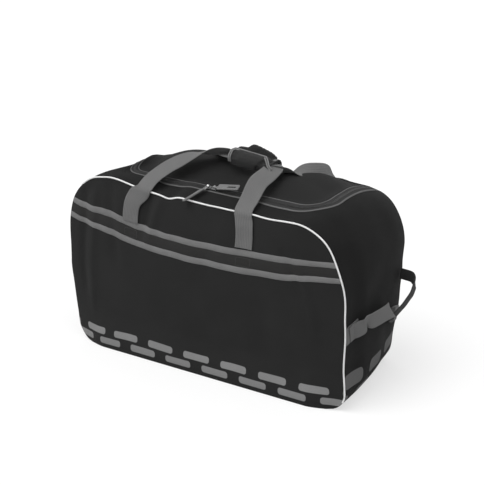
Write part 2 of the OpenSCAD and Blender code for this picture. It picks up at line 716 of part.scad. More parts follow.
// Black loop on the right end: its upper end near the rear seam, its lower end below the grab handle.
// The shape gives [share of the way down, share of the standing out] for each point of its route
loop_fractions = [[0, 0], [0.015, 0.66], [0.13, 0.95], [0.33, 1],
    [0.55, 1], [0.78, 0.95], [0.93, 0.68], [1, 0]];
loop_side_dir = [0, -0.6, 0.8];
loop_far_x = grab_axis_x + loop_standoff;
loop_points = [for (p = loop_fractions)
    let (y = seam_y - loop_start_setback - loop_run * p.x, wall = half_length(v_at(y)) + lay_gap + loop_t / 2)
    [mix(wall, loop_far_x, p.y), y, loop_top_z - loop_drop * p.x]];

function curve_point(p, i, t) =
    let (n = len(p) - 1, a = p[max(0, i - 1)], b = p[i], c = p[i + 1], d = p[min(n, i + 2)])
    0.5 * (2 * b + (c - a) * t + (2 * a - 5 * b + 4 * c - d) * t * t + (3 * b - a - 3 * c + d) * t * t * t);

module right_end_loop() {
    steps = 4;
    n = len(loop_points) - 1;
    route = concat([for (i = [0:n - 1], k = [0:steps - 1]) curve_point(loop_points, i, k / steps)],
        [loop_points[n]]);
    last = len(route) - 1;
    color(black) sweep([for (i = [0:last])
        let (t = unit(route[min(last, i + 1)] - route[max(0, i - 1)]), face = unit(cross(t, loop_side_dir)))
        strap_ring(route[i], loop_side_dir * loop_w / 2, face * loop_t / 2)]);
}

base_panel();
base_board();
bulged_panel(0);  // front_panel
turned(true) bulged_panel(1);  // rear_panel
gusset_end(-1);  // gusset_left
gusset_end(1);  // gusset_right
gusset_front_strip();
gusset_rear_strip();
piping(0);  // front_piping
turned(true) piping(1);  // rear_piping
upper_stripe(0);  // front_upper_stripe
dark_band(0);  // front_band
lower_stripe(0);  // front_lower_stripe
turned(true) upper_stripe(1);  // rear_upper_stripe
turned(true) dark_band(1);  // rear_band
turned(true) lower_stripe(1);  // rear_lower_stripe
handle_leg(left_leg_x, left_top_x, 0);  // front_handle_left_leg
handle_leg(right_leg_x, right_top_x, 0);  // front_handle_right_leg
turned(true) handle_leg(right_leg_x, right_top_x, 1);  // rear_handle_left_leg
turned(true) handle_leg(left_leg_x, left_top_x, 1);  // rear_handle_right_leg
outer_zip_tape();
outer_zip_teeth();
zip_end_tabs();
lid_panel();
lid_fold();
inner_zip_tape();
inner_zip_teeth();
left_slider();
left_pull_link();
left_pull_tab();
right_slider();
right_pull_link();
right_pull_tab();
front_handle_loop();
rear_handle_loop();
handle_wrap();
grab_handle();  // right_grab_handle
mirror([1, 0, 0]) grab_handle();  // left_grab_handle
sewn_tabs();  // right_sewn_tabs
mirror([1, 0, 0]) sewn_tabs();  // left_sewn_tabs
right_end_loop();
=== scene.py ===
# %% [markdown]
# # A soft team bag with a zipped lid
#
# This lesson dresses a imported CAD model of a fabric bag. The model gives the sizes and the joints. Here each
# soft piece is made again as cloth: panels that belly out, webbing that folds, a wrap that is stuffed.
# Most new pieces ride on the body whose place they take, such as the inner zip on the lid and the wrap on the
# front handle; the lid's sheet and fold and the webbing of the handles and grab straps ride on none.

# %% Load the frame
import json
import math

import bmesh
import bpy
import numpy as np
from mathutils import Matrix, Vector, noise


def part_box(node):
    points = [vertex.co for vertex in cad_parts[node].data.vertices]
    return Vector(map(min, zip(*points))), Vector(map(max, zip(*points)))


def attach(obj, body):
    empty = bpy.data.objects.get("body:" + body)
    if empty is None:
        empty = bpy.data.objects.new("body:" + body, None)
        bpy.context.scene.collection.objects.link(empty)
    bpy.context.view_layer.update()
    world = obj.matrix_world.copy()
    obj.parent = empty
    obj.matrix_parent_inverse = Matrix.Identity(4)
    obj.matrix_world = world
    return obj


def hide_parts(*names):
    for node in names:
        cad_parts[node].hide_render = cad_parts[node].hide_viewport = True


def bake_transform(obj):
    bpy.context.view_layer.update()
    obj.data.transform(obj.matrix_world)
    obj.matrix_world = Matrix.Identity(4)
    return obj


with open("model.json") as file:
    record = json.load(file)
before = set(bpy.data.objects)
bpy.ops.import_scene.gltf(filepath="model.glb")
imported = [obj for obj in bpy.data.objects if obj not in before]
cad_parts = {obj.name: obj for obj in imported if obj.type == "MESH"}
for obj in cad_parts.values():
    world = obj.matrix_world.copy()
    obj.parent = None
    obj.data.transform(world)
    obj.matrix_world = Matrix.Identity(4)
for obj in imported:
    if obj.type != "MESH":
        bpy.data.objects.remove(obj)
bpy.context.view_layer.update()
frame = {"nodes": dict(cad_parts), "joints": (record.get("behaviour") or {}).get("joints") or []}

# %% [markdown]
# ## The shape of the body
#
# A sewn bag is easiest to describe by its seams. Two panels, front and rear, have the same kind of outline: a
# flat top, a rounded shoulder at each end and a small foot. A strip of fabric, the gusset, runs from outline
# to outline. The main sizes are read from the model, so the cloth follows the model if it changes.

# %% Sizes of the body
front_low, front_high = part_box("front_panel")
seam_y = -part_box("gusset_right")[0].y
seam_height = front_high.z
front_half, rear_half = front_high.x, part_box("rear_panel")[1].x
# How far the top, the panels and the ends swell between the seams; a high power keeps a panel's middle flat.
# A panel is as thick as its cloth.
crown = 0.024
cloth = 0.002
belly = -front_low.y - seam_y - cloth
belly_power = 2.6
end_swell = 0.009
# Width and height of each shoulder, at the front seam and at the rear seam.
right_shoulder = (0.140, 0.185), (0.085, 0.120)
left_shoulder = (0.085, 0.115), (0.200, 0.210)
front_foot, rear_foot = (0.045, 0.045), (0.062, 0.150)
print(f"seams {2000 * seam_y:.0f} mm apart and {1000 * seam_height:.0f} mm high, crown {1000 * crown:.0f} mm")


def mix(a, b, t):
    """The value a share t of the way from a to b."""
    return a + (b - a) * t


def ease(t):
    """0 to 1 with a soft start and end."""
    t = np.clip(t, 0, 1)
    return t * t * (3 - 2 * t)


def hump(t):
    """A bell: 1 in the middle, nearly 0 from 2 on."""
    return np.exp(-t * t)


def pack(*parts):
    """Coordinates put together as points; a part that is one number counts for all points."""
    return np.stack(np.broadcast_arrays(*parts), -1)


def across(y):
    """Share of the way from the front seam to the rear seam."""
    return np.clip((y + seam_y) / (2 * seam_y), 0, 1)


def swell(y):
    return 4 * across(y) * (1 - across(y))


def half_length(y):
    return mix(front_half, rear_half, across(y)) + end_swell * swell(y)


def crest(y):
    return seam_height + crown * swell(y)


def foot(y):
    """Width and height of the rounded foot of the ends."""
    return mix(front_foot[0], rear_foot[0], across(y)), mix(front_foot[1], rear_foot[1], across(y))


def shoulder(x, y):
    """Width and height of the rounded shoulder on the side that x is on."""
    ends = [np.where(np.asarray(x) > 0, r, l) for right, left in zip(right_shoulder, left_shoulder)
            for r, l in zip(right, left)]
    return mix(ends[0], ends[2], across(y)), mix(ends[1], ends[3], across(y))


def top_z(x, y):
    """Height of the top of the bag."""
    wide, tall = shoulder(x, y)
    e = np.clip((np.abs(x) - half_length(y) + wide) / wide, 0, 1)
    return crest(y) - tall * (1 - np.sqrt(1 - e * e))


def reach(z, y, side):
    """How far an end stands from the middle at a height."""
    wide, tall = shoulder(side, y)
    foot_wide, foot_tall = foot(y)
    up = np.clip((z - crest(y) + tall) / tall, 0, 1)
    down = np.clip((foot_tall - z) / foot_tall, 0, 1)
    return half_length(y) - wide * (1 - np.sqrt(1 - up**2)) - foot_wide * (1 - np.sqrt(1 - down**2))


def panel_depth(x, z, y_seam):
    """How far a panel stands from the middle plane: it bellies out from its seam.

    The panel's outline is shrunk to the size that passes through the point; halving a range finds that size.
    """
    middle = seam_height / 2
    low, high = np.full(np.shape(x), 1e-3), np.full(np.shape(x), 1.3)
    for _ in range(26):
        r = (low + high) / 2
        px, pz = x / r, middle + (z - middle) / r
        inside = (np.abs(px) <= reach(pz, y_seam, px)) & (pz >= 0) & (pz <= seam_height)
        low, high = np.where(inside, low, r), np.where(inside, r, high)
    return seam_y + cloth + belly * (1 - np.clip(high, 0, 1) ** belly_power)


# %% [markdown]
# ## Slack
#
# Fabric that holds nothing stiff never keeps the shape it was cut to. `settle` moves any point of the sewn
# bag a little: the top seam rises at the left and dips beside the zip, the lower left corner is drawn in, and
# soft creases run down from the seams. Because the move depends on the place alone, the panel and whatever is
# sewn onto it move together. Last comes smooth noise, from a fixed seed so that every run gives the same bag;
# it fades out at the floor and where the sliders run.

# %% Slack of the sewn body
# Waves of the top seams, front and rear: place along the bag, width and height.
front_waves = [(-0.262, 0.05, 0.013), (-0.08, 0.045, -0.003), (-0.225, 0.04, 0.004), (0.205, 0.06, -0.004),
               (-0.086, 0.018, -0.005), (-0.055, 0.02, 0.002), (-0.19, 0.03, 0.004), (0.05, 0.06, -0.003)]
rear_waves = [(0.195, 0.045, 0.013), (0.255, 0.04, 0.005)]
# Creases of the front panel: place along the bag, width, depth, lower end, upper end and lean.
front_creases = [
    (-0.338, 0.010, 0.0035, 0.10, 0.40, 0.05), (-0.312, 0.012, -0.0030, 0.06, 0.40, 0.07),
    (-0.245, 0.014, 0.0030, 0.20, 0.42, -0.10), (-0.148, 0.012, 0.0048, 0.27, 0.42, 0.22),
    (-0.122, 0.010, -0.0030, 0.29, 0.42, 0.30),
    (0.030, 0.022, 0.0018, 0.22, 0.42, 0.15), (0.255, 0.012, 0.0032, 0.22, 0.36, -0.55),
    (0.290, 0.014, -0.0025, 0.14, 0.34, -0.35), (0.180, 0.030, 0.0018, 0.05, 0.30, -0.20)]
noise.seed_set(5)


def drift(points, grain, seed):
    """Smooth noise as a vector for each point; grain is the size of one wave in metres."""
    flat = points.reshape(-1, 3)
    shift = Vector((seed, 2.7 * seed, -1.3 * seed))
    return np.array([noise.noise_vector(Vector(p) / grain + shift) for p in flat]).reshape(points.shape)


def waves(x, table):
    """A sum of humps, each given by its place, width and height."""
    return sum(high * hump((x - x0) / wide) for x0, wide, high in table)


def settle(points):
    """Where the points of the sewn bag lie once its cloth has gone slack."""
    points = np.array(points, float)
    x, y, z = points[..., 0], points[..., 1], points[..., 2]
    dx, dy, dz = np.zeros((3, *x.shape))
    # Front top: waves of the seam and a dent beside the zip.
    near_front = hump((y + seam_y) / 0.055) * ease((z - 0.28) / 0.13)
    dent = hump((x + 0.125) / 0.03) * hump((y + 0.112) / 0.022) * ease((z - 0.28) / 0.10)
    dz += near_front * waves(x, front_waves) - 0.007 * dent
    # Left end: the foot is drawn in, the shoulder moves inwards and carries a ridge.
    dx += 0.020 * ease((-x - 0.22) / 0.15) * (1 - ease(z / 0.22))
    rear_top = ease((y + 0.11) / 0.12) * ease((z - 0.24) / 0.10)
    dx += 0.026 * rear_top * hump((x + 0.285) / 0.075)
    ridge = mix(0.019, 0.012, ease((y + 0.01) / 0.05)) * ease((x + 0.300) / 0.035)
    ridge = ridge * (1 - ease((x + 0.262) / 0.05))
    dz += rear_top * (ridge - 0.010 * hump((x + 0.325) / 0.05))
    corner = hump((x + 0.288) / 0.040) * hump((y + 0.058) / 0.048) * ease((z - 0.24) / 0.10)
    dx += 0.034 * corner
    dz += 0.012 * corner
    # Right end: its front edge is drawn in, its rear half is hollow low down and full at the top.
    right_edge = ease((x - 0.28) / 0.08) * ease((-y - 0.06) / 0.06) * ease((z - 0.02) / 0.08)
    dx -= 0.0065 * right_edge * (1 - ease((z - 0.33) / 0.06))
    dx -= 0.008 * ease(y / 0.08) * ease((x - 0.25) / 0.08) * hump((z - 0.10) / 0.055)
    rear_right = ease((y - 0.02) / 0.09) * ease((x - 0.20) / 0.10) * ease((z - 0.25) / 0.08)
    dx += 0.0045 * rear_right
    rear_lift = waves(x, rear_waves) * ease(y / 0.08) * ease((z - 0.28) / 0.08)
    dz += rear_lift + 0.003 * rear_right * ease((z - 0.30) / 0.08)
    # Both panels: the foot is pushed out. Front panel: creases.
    toe = (1 - ease(z / 0.10)) * ease((np.abs(y) - 0.10) / 0.04)
    dy += np.sign(y) * 0.020 * toe * ease((0.37 - x) / 0.08) * ease((x + 0.40) / 0.12)
    on_front = ease((-y - 0.12) / 0.03)
    for x0, wide, deep, z0, z1, lean in front_creases:
        run = ease((z - z0) / 0.06) * ease((z1 - z) / 0.03)
        dy += on_front * run * deep * hump((x - x0 - lean * (z - (z0 + z1) / 2)) / wide)
    # All over: noise, except where the sliders run and at the floor, which nothing goes below.
    running = hump((x - 0.01) / 0.11) * hump((y + 0.088) / 0.04) * ease((z - 0.3) / 0.1)
    calm = ((1 - running) * ease(z / 0.06))[..., None]
    uneven = 0.0032 * drift(points, 0.17, 3.1) + 0.0020 * drift(points, 0.06, 8.2)
    moved = points + pack(dx, dy, dz) + calm * uneven
    moved[..., 2] = np.where(z < 0.002, z, np.maximum(moved[..., 2], 0.0005))
    return moved


left_top = np.array([-0.26, -0.143, 0.41])
print("slack at the left shoulder, mm:", np.round(1000 * (settle(left_top) - left_top), 1))

# %% [markdown]
# ## Tools for cloth and webbing
#
# `sheet_mesh` turns two grids of points, a face and a back, into one closed sheet. `tube_mesh` joins rings of
# points. Both keep the cloth coordinates, in metres, as a UV map, so that a weave drawn on them has the same
# thread size on every piece. A cord is a tube with round rings, a strap one with flat rings.


# %% Mesh tools
def cloth_map(mesh, corners):
    """Keeps a (u, v) for each point as a UV map."""
    layer = mesh.uv_layers.new(name="cloth")
    index = np.zeros(len(mesh.loops), int)
    mesh.loops.foreach_get("vertex_index", index)
    layer.data.foreach_set("uv", np.asarray(corners, np.float32)[index].ravel())


def face_outwards(mesh, merge=0.0):
    """Turns every face outwards; points closer than merge become one."""
    work = bmesh.new()
    work.from_mesh(mesh)
    if merge:
        bmesh.ops.remove_doubles(work, verts=work.verts, dist=merge)
    bmesh.ops.recalc_face_normals(work, faces=work.faces)
    work.to_mesh(mesh)
    work.free()


def piece(name, points, faces, corners, sharp=50):
    """A mesh object with cloth coordinates; edges sharper than an angle in degrees stay sharp."""
    mesh = bpy.data.meshes.new(name)
    mesh.from_pydata([tuple(p) for p in points], [], faces)
    cloth_map(mesh, corners)
    face_outwards(mesh)
    mesh.shade_smooth()
    mesh.set_sharp_from_angle(angle=math.radians(sharp))
    made = bpy.data.objects.new(name, mesh)
    bpy.context.scene.collection.objects.link(made)
    return made


def grid_faces(rows, columns, first=0):
    """The faces of a grid whose points are numbered from first."""
    number = first + np.arange(rows * columns).reshape(rows, columns)
    quads = pack(number[:-1, :-1], number[:-1, 1:], number[1:, 1:], number[1:, :-1])
    return quads.reshape(-1, 4).tolist()


def tube_faces(count, around, first=0, looped=False):
    """The faces between rings of points; both ends get a cap, unless the last ring joins the first."""
    number = first + np.arange(count * around).reshape(count, around)
    ahead = np.roll(number, -1, 0)
    quads = pack(number, np.roll(number, -1, 1), np.roll(ahead, -1, 1), ahead)
    if looped:
        return quads.reshape(-1, 4).tolist()
    return quads[:-1].reshape(-1, 4).tolist() + number[[0, -1]].tolist()


def closed_sheet(face, back, first=0):
    """The points and faces of a sheet with a face, a back and a rim."""
    rows, columns = face.shape[:2]
    n = rows * columns
    faces = grid_faces(rows, columns, first) + [f[::-1] for f in grid_faces(rows, columns, first + n)]
    number = first + np.arange(n).reshape(rows, columns)
    rim = np.concatenate([number[0], number[1:, -1], number[-1, -2::-1], number[-2:0:-1, 0]]).tolist()
    faces += [(a, b, b + n, a + n) for a, b in zip(rim, rim[1:] + rim[:1])]
    return np.concatenate([face.reshape(-1, 3), back.reshape(-1, 3)]), faces


def sheet_mesh(name, face, back, corners):
    return piece(name, *closed_sheet(face, back), np.concatenate([corners.reshape(-1, 2)] * 2))


# %% Tubes, cords and webbing
def way_along(line):
    """The way from the first point of a line to each of its points."""
    return np.concatenate([[0], np.cumsum(np.linalg.norm(np.diff(line, axis=0), axis=1))])


def tube_mesh(name, rings, corners=None, looped=False, sharp=50):
    count, around = rings.shape[:2]
    if corners is None:
        along, girth = way_along(rings.mean(1)), way_along(rings[count // 2])
        corners = pack(girth[None, :], along[:, None])
    faces = tube_faces(count, around, looped=looped)
    return piece(name, rings.reshape(-1, 3), faces, np.asarray(corners).reshape(-1, 2), sharp)


def unit(v):
    return v / np.maximum(np.linalg.norm(v, axis=-1, keepdims=True), 1e-12)


def cord_rings(line, radius, around=10):
    """Round rings along a line of points."""
    ahead = unit(np.gradient(line, axis=0))
    helper = np.where(np.abs(ahead[:, 1:2]) < 0.9, [[0.0, 1.0, 0.0]], [[1.0, 0.0, 0.0]])
    side = unit(np.cross(ahead, helper))
    up = np.cross(side, ahead)
    a = np.linspace(0, 2 * math.pi, around, endpoint=False)
    ring = np.cos(a)[None, :, None] * side[:, None] + np.sin(a)[None, :, None] * up[:, None]
    return line[:, None] + radius * ring


# The cross-section of webbing: flat faces and round edges, as (share of half width, share of half thickness).
upper_half = [(-0.97, 0.8), (-0.9, 1), (-0.45, 1), (0, 1), (0.45, 1), (0.9, 1), (0.97, 0.8)]
webbing_section = np.array([(-1, 0), *upper_half, (1, 0), *((s, -f) for s, f in upper_half[::-1])])


def webbing(name, middle, side, width, thick):
    """A strap along a line of points; side is the direction of its width at each point."""
    ahead = unit(np.gradient(middle, axis=0))
    side = unit(side - (side * ahead).sum(-1, keepdims=True) * ahead)
    face = np.cross(side, ahead)
    half = np.broadcast_to(np.asarray(width, float) / 2, len(middle))[:, None]
    s, f = webbing_section[:, 0], webbing_section[:, 1]
    rings = middle[:, None] + (half * s)[..., None] * side[:, None]
    rings = rings + (thick / 2 * f)[None, :, None] * face[:, None]
    return tube_mesh(name, rings, pack(half * s, way_along(middle)[:, None]), sharp=60)


# %% Lines at even steps
def along_line(line, at):
    """Points of a line at given ways from its start."""
    along = way_along(line)
    return pack(*(np.interp(at, along, column) for column in line.T))


def spaced(line, step):
    """The same line with points at even steps."""
    line = np.asarray(line, float)
    long = way_along(line)[-1]
    return along_line(line, np.linspace(0, long, max(2, int(round(long / step)) + 1)))


def evened(line, count):
    """A line of points, each moved to the mean of the count points round it."""
    padded = np.pad(line, ((count // 2, count // 2), (0, 0)), "edge")
    return pack(*(np.convolve(column, np.ones(count) / count, "valid") for column in padded.T))


# %% [markdown]
# ## Finishes
#
# A shader is a graph of sockets, and sums are easier to read as sums. `Wire` wraps one socket and gives it
# arithmetic. `Finish` starts a material and adds any other node by its type, its settings and its inputs.


# %% Shader tools
class Wire:
    """A socket of a shader, with arithmetic."""

    def __init__(self, tree, socket):
        self.tree, self.socket = tree, socket

    def math(self, operation, *values):
        made = self.tree.nodes.new("ShaderNodeMath")
        made.operation = operation
        for slot, value in zip(made.inputs, values):
            connect(self.tree, slot, value)
        return Wire(self.tree, made.outputs[0])

    def __rsub__(self, other):
        return self.math("SUBTRACT", other, self)


wire_methods = {"__add__": "ADD", "__sub__": "SUBTRACT", "__mul__": "MULTIPLY", "__truediv__": "DIVIDE",
                "__abs__": "ABSOLUTE", "sin": "SINE", "fract": "FRACT", "sqrt": "SQRT",
                "above": "MAXIMUM", "below": "MINIMUM"}
for method, operation in wire_methods.items():
    setattr(Wire, method, lambda self, *others, operation=operation: self.math(operation, self, *others))


def connect(tree, slot, value):
    if isinstance(value, Wire):
        tree.links.new(value.socket, slot)
    else:
        slot.default_value = value


def grey(value, warm=0.0):
    return (value * (1 + warm), value, value * (1 - warm), 1.0)


class Finish:
    """A material with one Principled shader."""

    def __init__(self, name, **constants):
        self.material = bpy.data.materials.new(name)
        self.material.use_nodes = True
        self.tree = self.material.node_tree
        self.shader = self.tree.nodes["Principled BSDF"]
        for socket, value in constants.items():
            self.shader.inputs[socket.replace("_", " ")].default_value = value

    def node(self, kind, settings, inputs):
        made = self.tree.nodes.new(kind)
        for name, value in settings.items():
            setattr(made, name, value)
        for name, value in inputs.items():
            connect(self.tree, made.inputs[name], value)
        return lambda output=0: Wire(self.tree, made.outputs[output])

    def blend(self, share, a, b):
        """Colour a where share is 0 and b where it is 1."""
        return self.node("ShaderNodeMix", {"data_type": "RGBA"}, {0: share, 6: a, 7: b})(2)

    def shaded(self, colour, shade):
        """A colour made darker or lighter."""
        return self.node("ShaderNodeVectorMath", {"operation": "SCALE"}, {0: colour, "Scale": shade})()

    def object_place(self):
        return self.node("ShaderNodeTexCoord", {}, {})("Object")

    def cloth_place(self):
        """The cloth coordinates of the piece, in metres."""
        place = self.node("ShaderNodeUVMap", {"uv_map": "cloth"}, {})()
        parts = self.node("ShaderNodeSeparateXYZ", {}, {0: place})
        return parts("X"), parts("Y"), place

    def clouds(self, place, scale, detail=3.0):
        return self.node("ShaderNodeTexNoise", {}, {"Vector": place, "Scale": scale, "Detail": detail})(0)

    def set(self, socket, value):
        connect(self.tree, self.shader.inputs[socket], value)

    def raise_by(self, height, distance, strength):
        inputs = {"Height": height, "Distance": distance, "Strength": strength}
        self.set("Normal", self.node("ShaderNodeBump", {}, inputs)())


print("Blender", bpy.app.version_string, "with", len(frame["nodes"]), "CAD nodes loaded")

# %% [markdown]
# ### Woven polyester
#
# The shell is a plain weave of thick polyester yarn, near black, with a print low down. At arm's length the
# yarns show as a fine grid, and the product of two sines draws it well. The print is two staggered rows of
# rounded bars, drawn as the distance to a rounded rectangle in each cell of a grid.


# %% Shell fabric
def weave(u, v, pitch):
    """Height of a plain weave: each yarn is high where it passes over its neighbour."""
    return (u * (2 * math.pi / pitch)).sin() * (v * (2 * math.pi / pitch)).sin()


# How steeply the ink starts at the edge of a bar, for each metre.
ink_edge = 1200.0


def bars(u, v, level, tall, long, cell, shift):
    """1 inside a row of rounded bars and 0 outside."""
    round_end = tall * 0.38
    du = (abs((u / cell + shift).fract() - 0.5) * cell - (long / 2 - round_end)).above(0.0)
    dv = (abs(v - level) - (tall / 2 - round_end)).above(0.0)
    distance = (du * du + dv * dv).sqrt() - round_end
    return (0.5 - distance * ink_edge).above(0.0).below(1.0)


def shell_fabric(name, rows, colour=0.0142, ink_colour=0.26):
    finish = Finish(name, Sheen_Weight=0.03, Sheen_Roughness=0.5, Specular_IOR_Level=0.25)
    u, v, place = finish.cloth_place()
    yarn = weave(u, v, 0.0013)
    worn = finish.clouds(place, 9.0)
    fine = finish.clouds(place, 700.0, 1.0)
    shade = (worn * 0.5 + 0.75) * (yarn * 0.16 + 0.92) * (fine * 0.4 + 0.8)
    base = finish.shaded(grey(colour)[:3], shade)
    printed = None
    for row in rows:
        drawn = bars(u, v, *row)
        printed = drawn if printed is None else printed.above(drawn)
    if printed is not None:
        ink = printed * (fine * 0.5 + 0.6).below(1.0)
        base = finish.blend(ink, base, grey(ink_colour))
        finish.set("Roughness", 0.86 - printed * 0.2)
    else:
        finish.set("Roughness", worn * 0.12 + 0.8)
    finish.set("Base Color", base)
    finish.raise_by(yarn * 0.5 + fine * 0.6 + worn * 2.0, 0.0004, 0.7)
    return finish.material


# Rows of the print: height of the middle, height and length of a bar, length of a cell and shift in cells.
front_rows = [(0.020, 0.017, 0.072, 0.104, 0.0), (0.044, 0.017, 0.072, 0.104, 0.5)]
end_rows = [(0.045, 0.034, 0.074, 0.108, 0.0), (0.092, 0.034, 0.074, 0.108, 0.5)]
panel_finish = shell_fabric("printed shell fabric", front_rows)
# The gusset is the same shell fabric as the panels; its darker colour and darker print are painted shade,
# standing in for the shade on the right end.
shaded_gusset_finish = shell_fabric("printed gusset fabric", end_rows, colour=0.0040, ink_colour=0.13)
plain_finish = shell_fabric("plain shell fabric", [], colour=0.0108)
print("shell fabrics:", panel_finish.name, "/", shaded_gusset_finish.name, "/", plain_finish.name)

# %% [markdown]
# ### Webbing, tape, cord, metal
#
# Webbing is woven much thicker than the shell: ribs run along it and each rib is made of yarns that cross it.
# The coordinates of a strap run across and along, so the ribs follow every bend by themselves.


# %% Strap and trim finishes
def webbing_finish(name, colour, rib=0.0042, yarn=0.0016, warm=0.0, rough=0.82, sheen=0.1):
    finish = Finish(name, Sheen_Weight=sheen)
    u, v, place = finish.cloth_place()
    ribs = abs((u * (math.pi / rib)).sin())
    yarns = (v * (2 * math.pi / yarn) + ribs * 3.0).sin()
    fine = finish.clouds(place, 900.0, 1.0)
    worn = finish.clouds(place, 25.0)
    shade = (ribs * 0.35 + 0.72) * (yarns * 0.14 + 0.9) * (fine * 0.4 + 0.82) * (worn * 0.4 + 0.82)
    finish.set("Base Color", finish.shaded(grey(colour, warm)[:3], shade))
    finish.set("Roughness", worn * 0.15 + (rough - 0.08))
    finish.raise_by(ribs + yarns * 0.35 + fine * 0.3, 0.0005, 0.8)
    return finish.material


def tape_finish():
    """Zip tape: dark in the middle, with a lighter woven edge; u is the distance from the teeth."""
    finish = Finish("zip tape")
    u, v, place = finish.cloth_place()
    line = ((u - 0.0128) * 1600.0).above(0.0).below(1.0)
    yarn = weave(u, v, 0.0018)
    fine = finish.clouds(place, 800.0, 1.0)
    shade = (yarn * 0.16 + 0.9) * (fine * 0.4 + 0.8)
    tint = finish.blend(line, grey(0.016), grey(0.12))
    finish.set("Base Color", finish.shaded(tint, shade))
    finish.set("Roughness", 0.8 - line * 0.1)
    finish.raise_by(yarn + fine * 0.4, 0.0003, 0.7)
    return finish.material


def metal_finish():
    finish = Finish("slider metal", Metallic=1.0)
    rubbed = finish.clouds(finish.object_place(), 160.0)
    finish.set("Base Color", finish.blend(rubbed, grey(0.55), grey(0.78)))
    finish.set("Roughness", rubbed * 0.25 + 0.2)
    finish.raise_by(rubbed, 0.0002, 0.3)
    return finish.material


def moulded_finish(name, colour, rough):
    finish = Finish(name)
    place = finish.object_place()
    grain = finish.clouds(place, 900.0, 2.0)
    worn = finish.clouds(place, 60.0)
    shade = (grain * 0.3 + 0.85) * (worn * 0.3 + 0.85)
    finish.set("Base Color", finish.shaded(grey(colour)[:3], shade))
    finish.set("Roughness", worn * 0.2 + (rough - 0.1))
    finish.raise_by(grain, 0.0002, 0.5)
    return finish.material


grey_webbing = webbing_finish("grey webbing", 0.138)
black_webbing = webbing_finish("black webbing", 0.016, rib=0.0036)
grey_stripe = webbing_finish("grey stripe", 0.185, rib=0.0024, yarn=0.0012)
dark_band = webbing_finish("dark band", 0.0105, rib=0.0020, yarn=0.0012, warm=0.05, sheen=0.02)
pull_fabric = webbing_finish("pull fabric", 0.17, rib=0.0026)
binding_tape = webbing_finish("binding tape", 0.21, rib=0.0018, yarn=0.0012)
wrap_fabric = webbing_finish("wrap fabric", 0.0085, rib=0.0014, yarn=0.0014, rough=0.9)
white_cord = webbing_finish("white piping", 0.97, rib=0.0030, yarn=0.0022, rough=0.6)
zip_tape = tape_finish()
zip_coil = moulded_finish("zip coil", 0.030, rough=0.45)
slider_metal = metal_finish()
board_plastic = moulded_finish("base board", 0.020, rough=0.55)
thread = moulded_finish("sewing thread", 0.045, rough=0.7)
print("finishes:", len(bpy.data.materials))


def dress(made, material):
    made.data.materials.clear()
    made.data.materials.append(material)


def wear(made, material, slot, body, *nodes):
    """Gives a piece its finish and its one body, if it has one, and hides the CAD nodes it stands for; slot is
    not used.
    """
    dress(made, material)
    if nodes:
        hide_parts(*nodes)
    if body:
        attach(made, body)
    return made


# %% [markdown]
# ## Front and rear panel
#
# Each panel is a sheet cut to the outline of its seam and pushed out by what the bag holds. The grid has one
# row for each height, from end to end of the outline at that height, and closer rows at the top and the foot.


# %% Panels
def bulged_panel(name, sign, node):
    y_seam = sign * seam_y
    rows, columns, back_share = 72, 132, 0.9985
    crowded = seam_height * (1 - np.cos(np.linspace(0, math.pi, rows))) / 2
    z = mix(crowded, np.linspace(0, seam_height, rows), 0.5)[:, None]
    left, right = -reach(z, y_seam, -1), reach(z, y_seam, 1)
    x = left + (right - left) * np.linspace(0, 1, columns)
    depth = panel_depth(x, z, y_seam)
    face = settle(pack(x, sign * depth, z))
    back = settle(pack(x * back_share, sign * (depth - cloth), z))
    made = wear(sheet_mesh(name, face, back, pack(x, z)), panel_finish, "shell_fabric", "root", node)
    cut = float(np.trapz(x[:, -1] - x[:, 0], z[:, 0]))
    x.max() - x.min()
    print(f"{name}: {len(made.data.polygons)} faces, cut from {cut:.3f} square metres")


panel_sides = {"front": -1, "rear": 1}
for side_name, sign in panel_sides.items():
    bulged_panel(side_name + "_panel_cloth", sign, side_name + "_panel")

# %% [markdown]
# ## Gusset
#
# One strip of fabric makes both ends and the border round the lid. It is laid out in rows, one for each
# distance from front to rear. A row starts at the edge of the opening, runs over the shoulder and down the
# end to the floor. In front of the zip and behind the lid more rows run right across the top.

# %% Zip line and opening
joint_place = {joint["name"]: joint["pos_m"] for joint in frame["joints"]}
fold_y, fold_z = joint_place["lid_hinge"][1], joint_place["lid_hinge"][2]
zip_low, zip_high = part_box("outer_zip_teeth")
# Half the slit between gusset and lid, the radius of the zip's corners, and where its three sides run.
zip_cut = 0.003
zip_corner = 0.070
zip_x, zip_y = 0.280, -0.088
zip_rear = 0.118
turn_x, turn_y = zip_x - zip_corner, zip_y + zip_corner
print(f"teeth reach x {zip_high.x:.4f} and y {zip_low.y:.4f}")


def edge_x(y, gap):
    """Half the width of the opening, a gap outside the line of the zip."""
    r = zip_corner + gap
    round_x = turn_x + np.sqrt(np.clip(r * r - (y - turn_y) ** 2, 0, None))
    return np.where(y < turn_y, round_x, zip_x + gap)


def end_profile(y, side, start, count=78):
    """Points (x, z) down one end, from the opening to the floor, at even steps, with the way still to go."""
    wide, tall = [float(s) for s in shoulder(side, y)]
    half, high = float(half_length(y)), float(crest(y))
    foot_wide, foot_tall = [float(s) for s in foot(y)]
    a = np.linspace(0, math.pi / 2, 60)
    arc = pack(half - wide + wide * np.sin(a), high - tall + tall * np.cos(a))
    toe = pack(half - foot_wide + foot_wide * np.cos(a), foot_tall * (1 - np.sin(a)))
    line = np.concatenate([[[start, float(top_z(side * start, y))]], arc[arc[:, 0] > start + 1e-4], toe])
    at = np.linspace(0, way_along(line)[-1], count)
    return along_line(line, at), at[-1] - at


top_cloth = 0.0016
# Added to the cloth coordinate of the top, so that the rows of the print stay at the foot of the ends.
past_print = 0.9


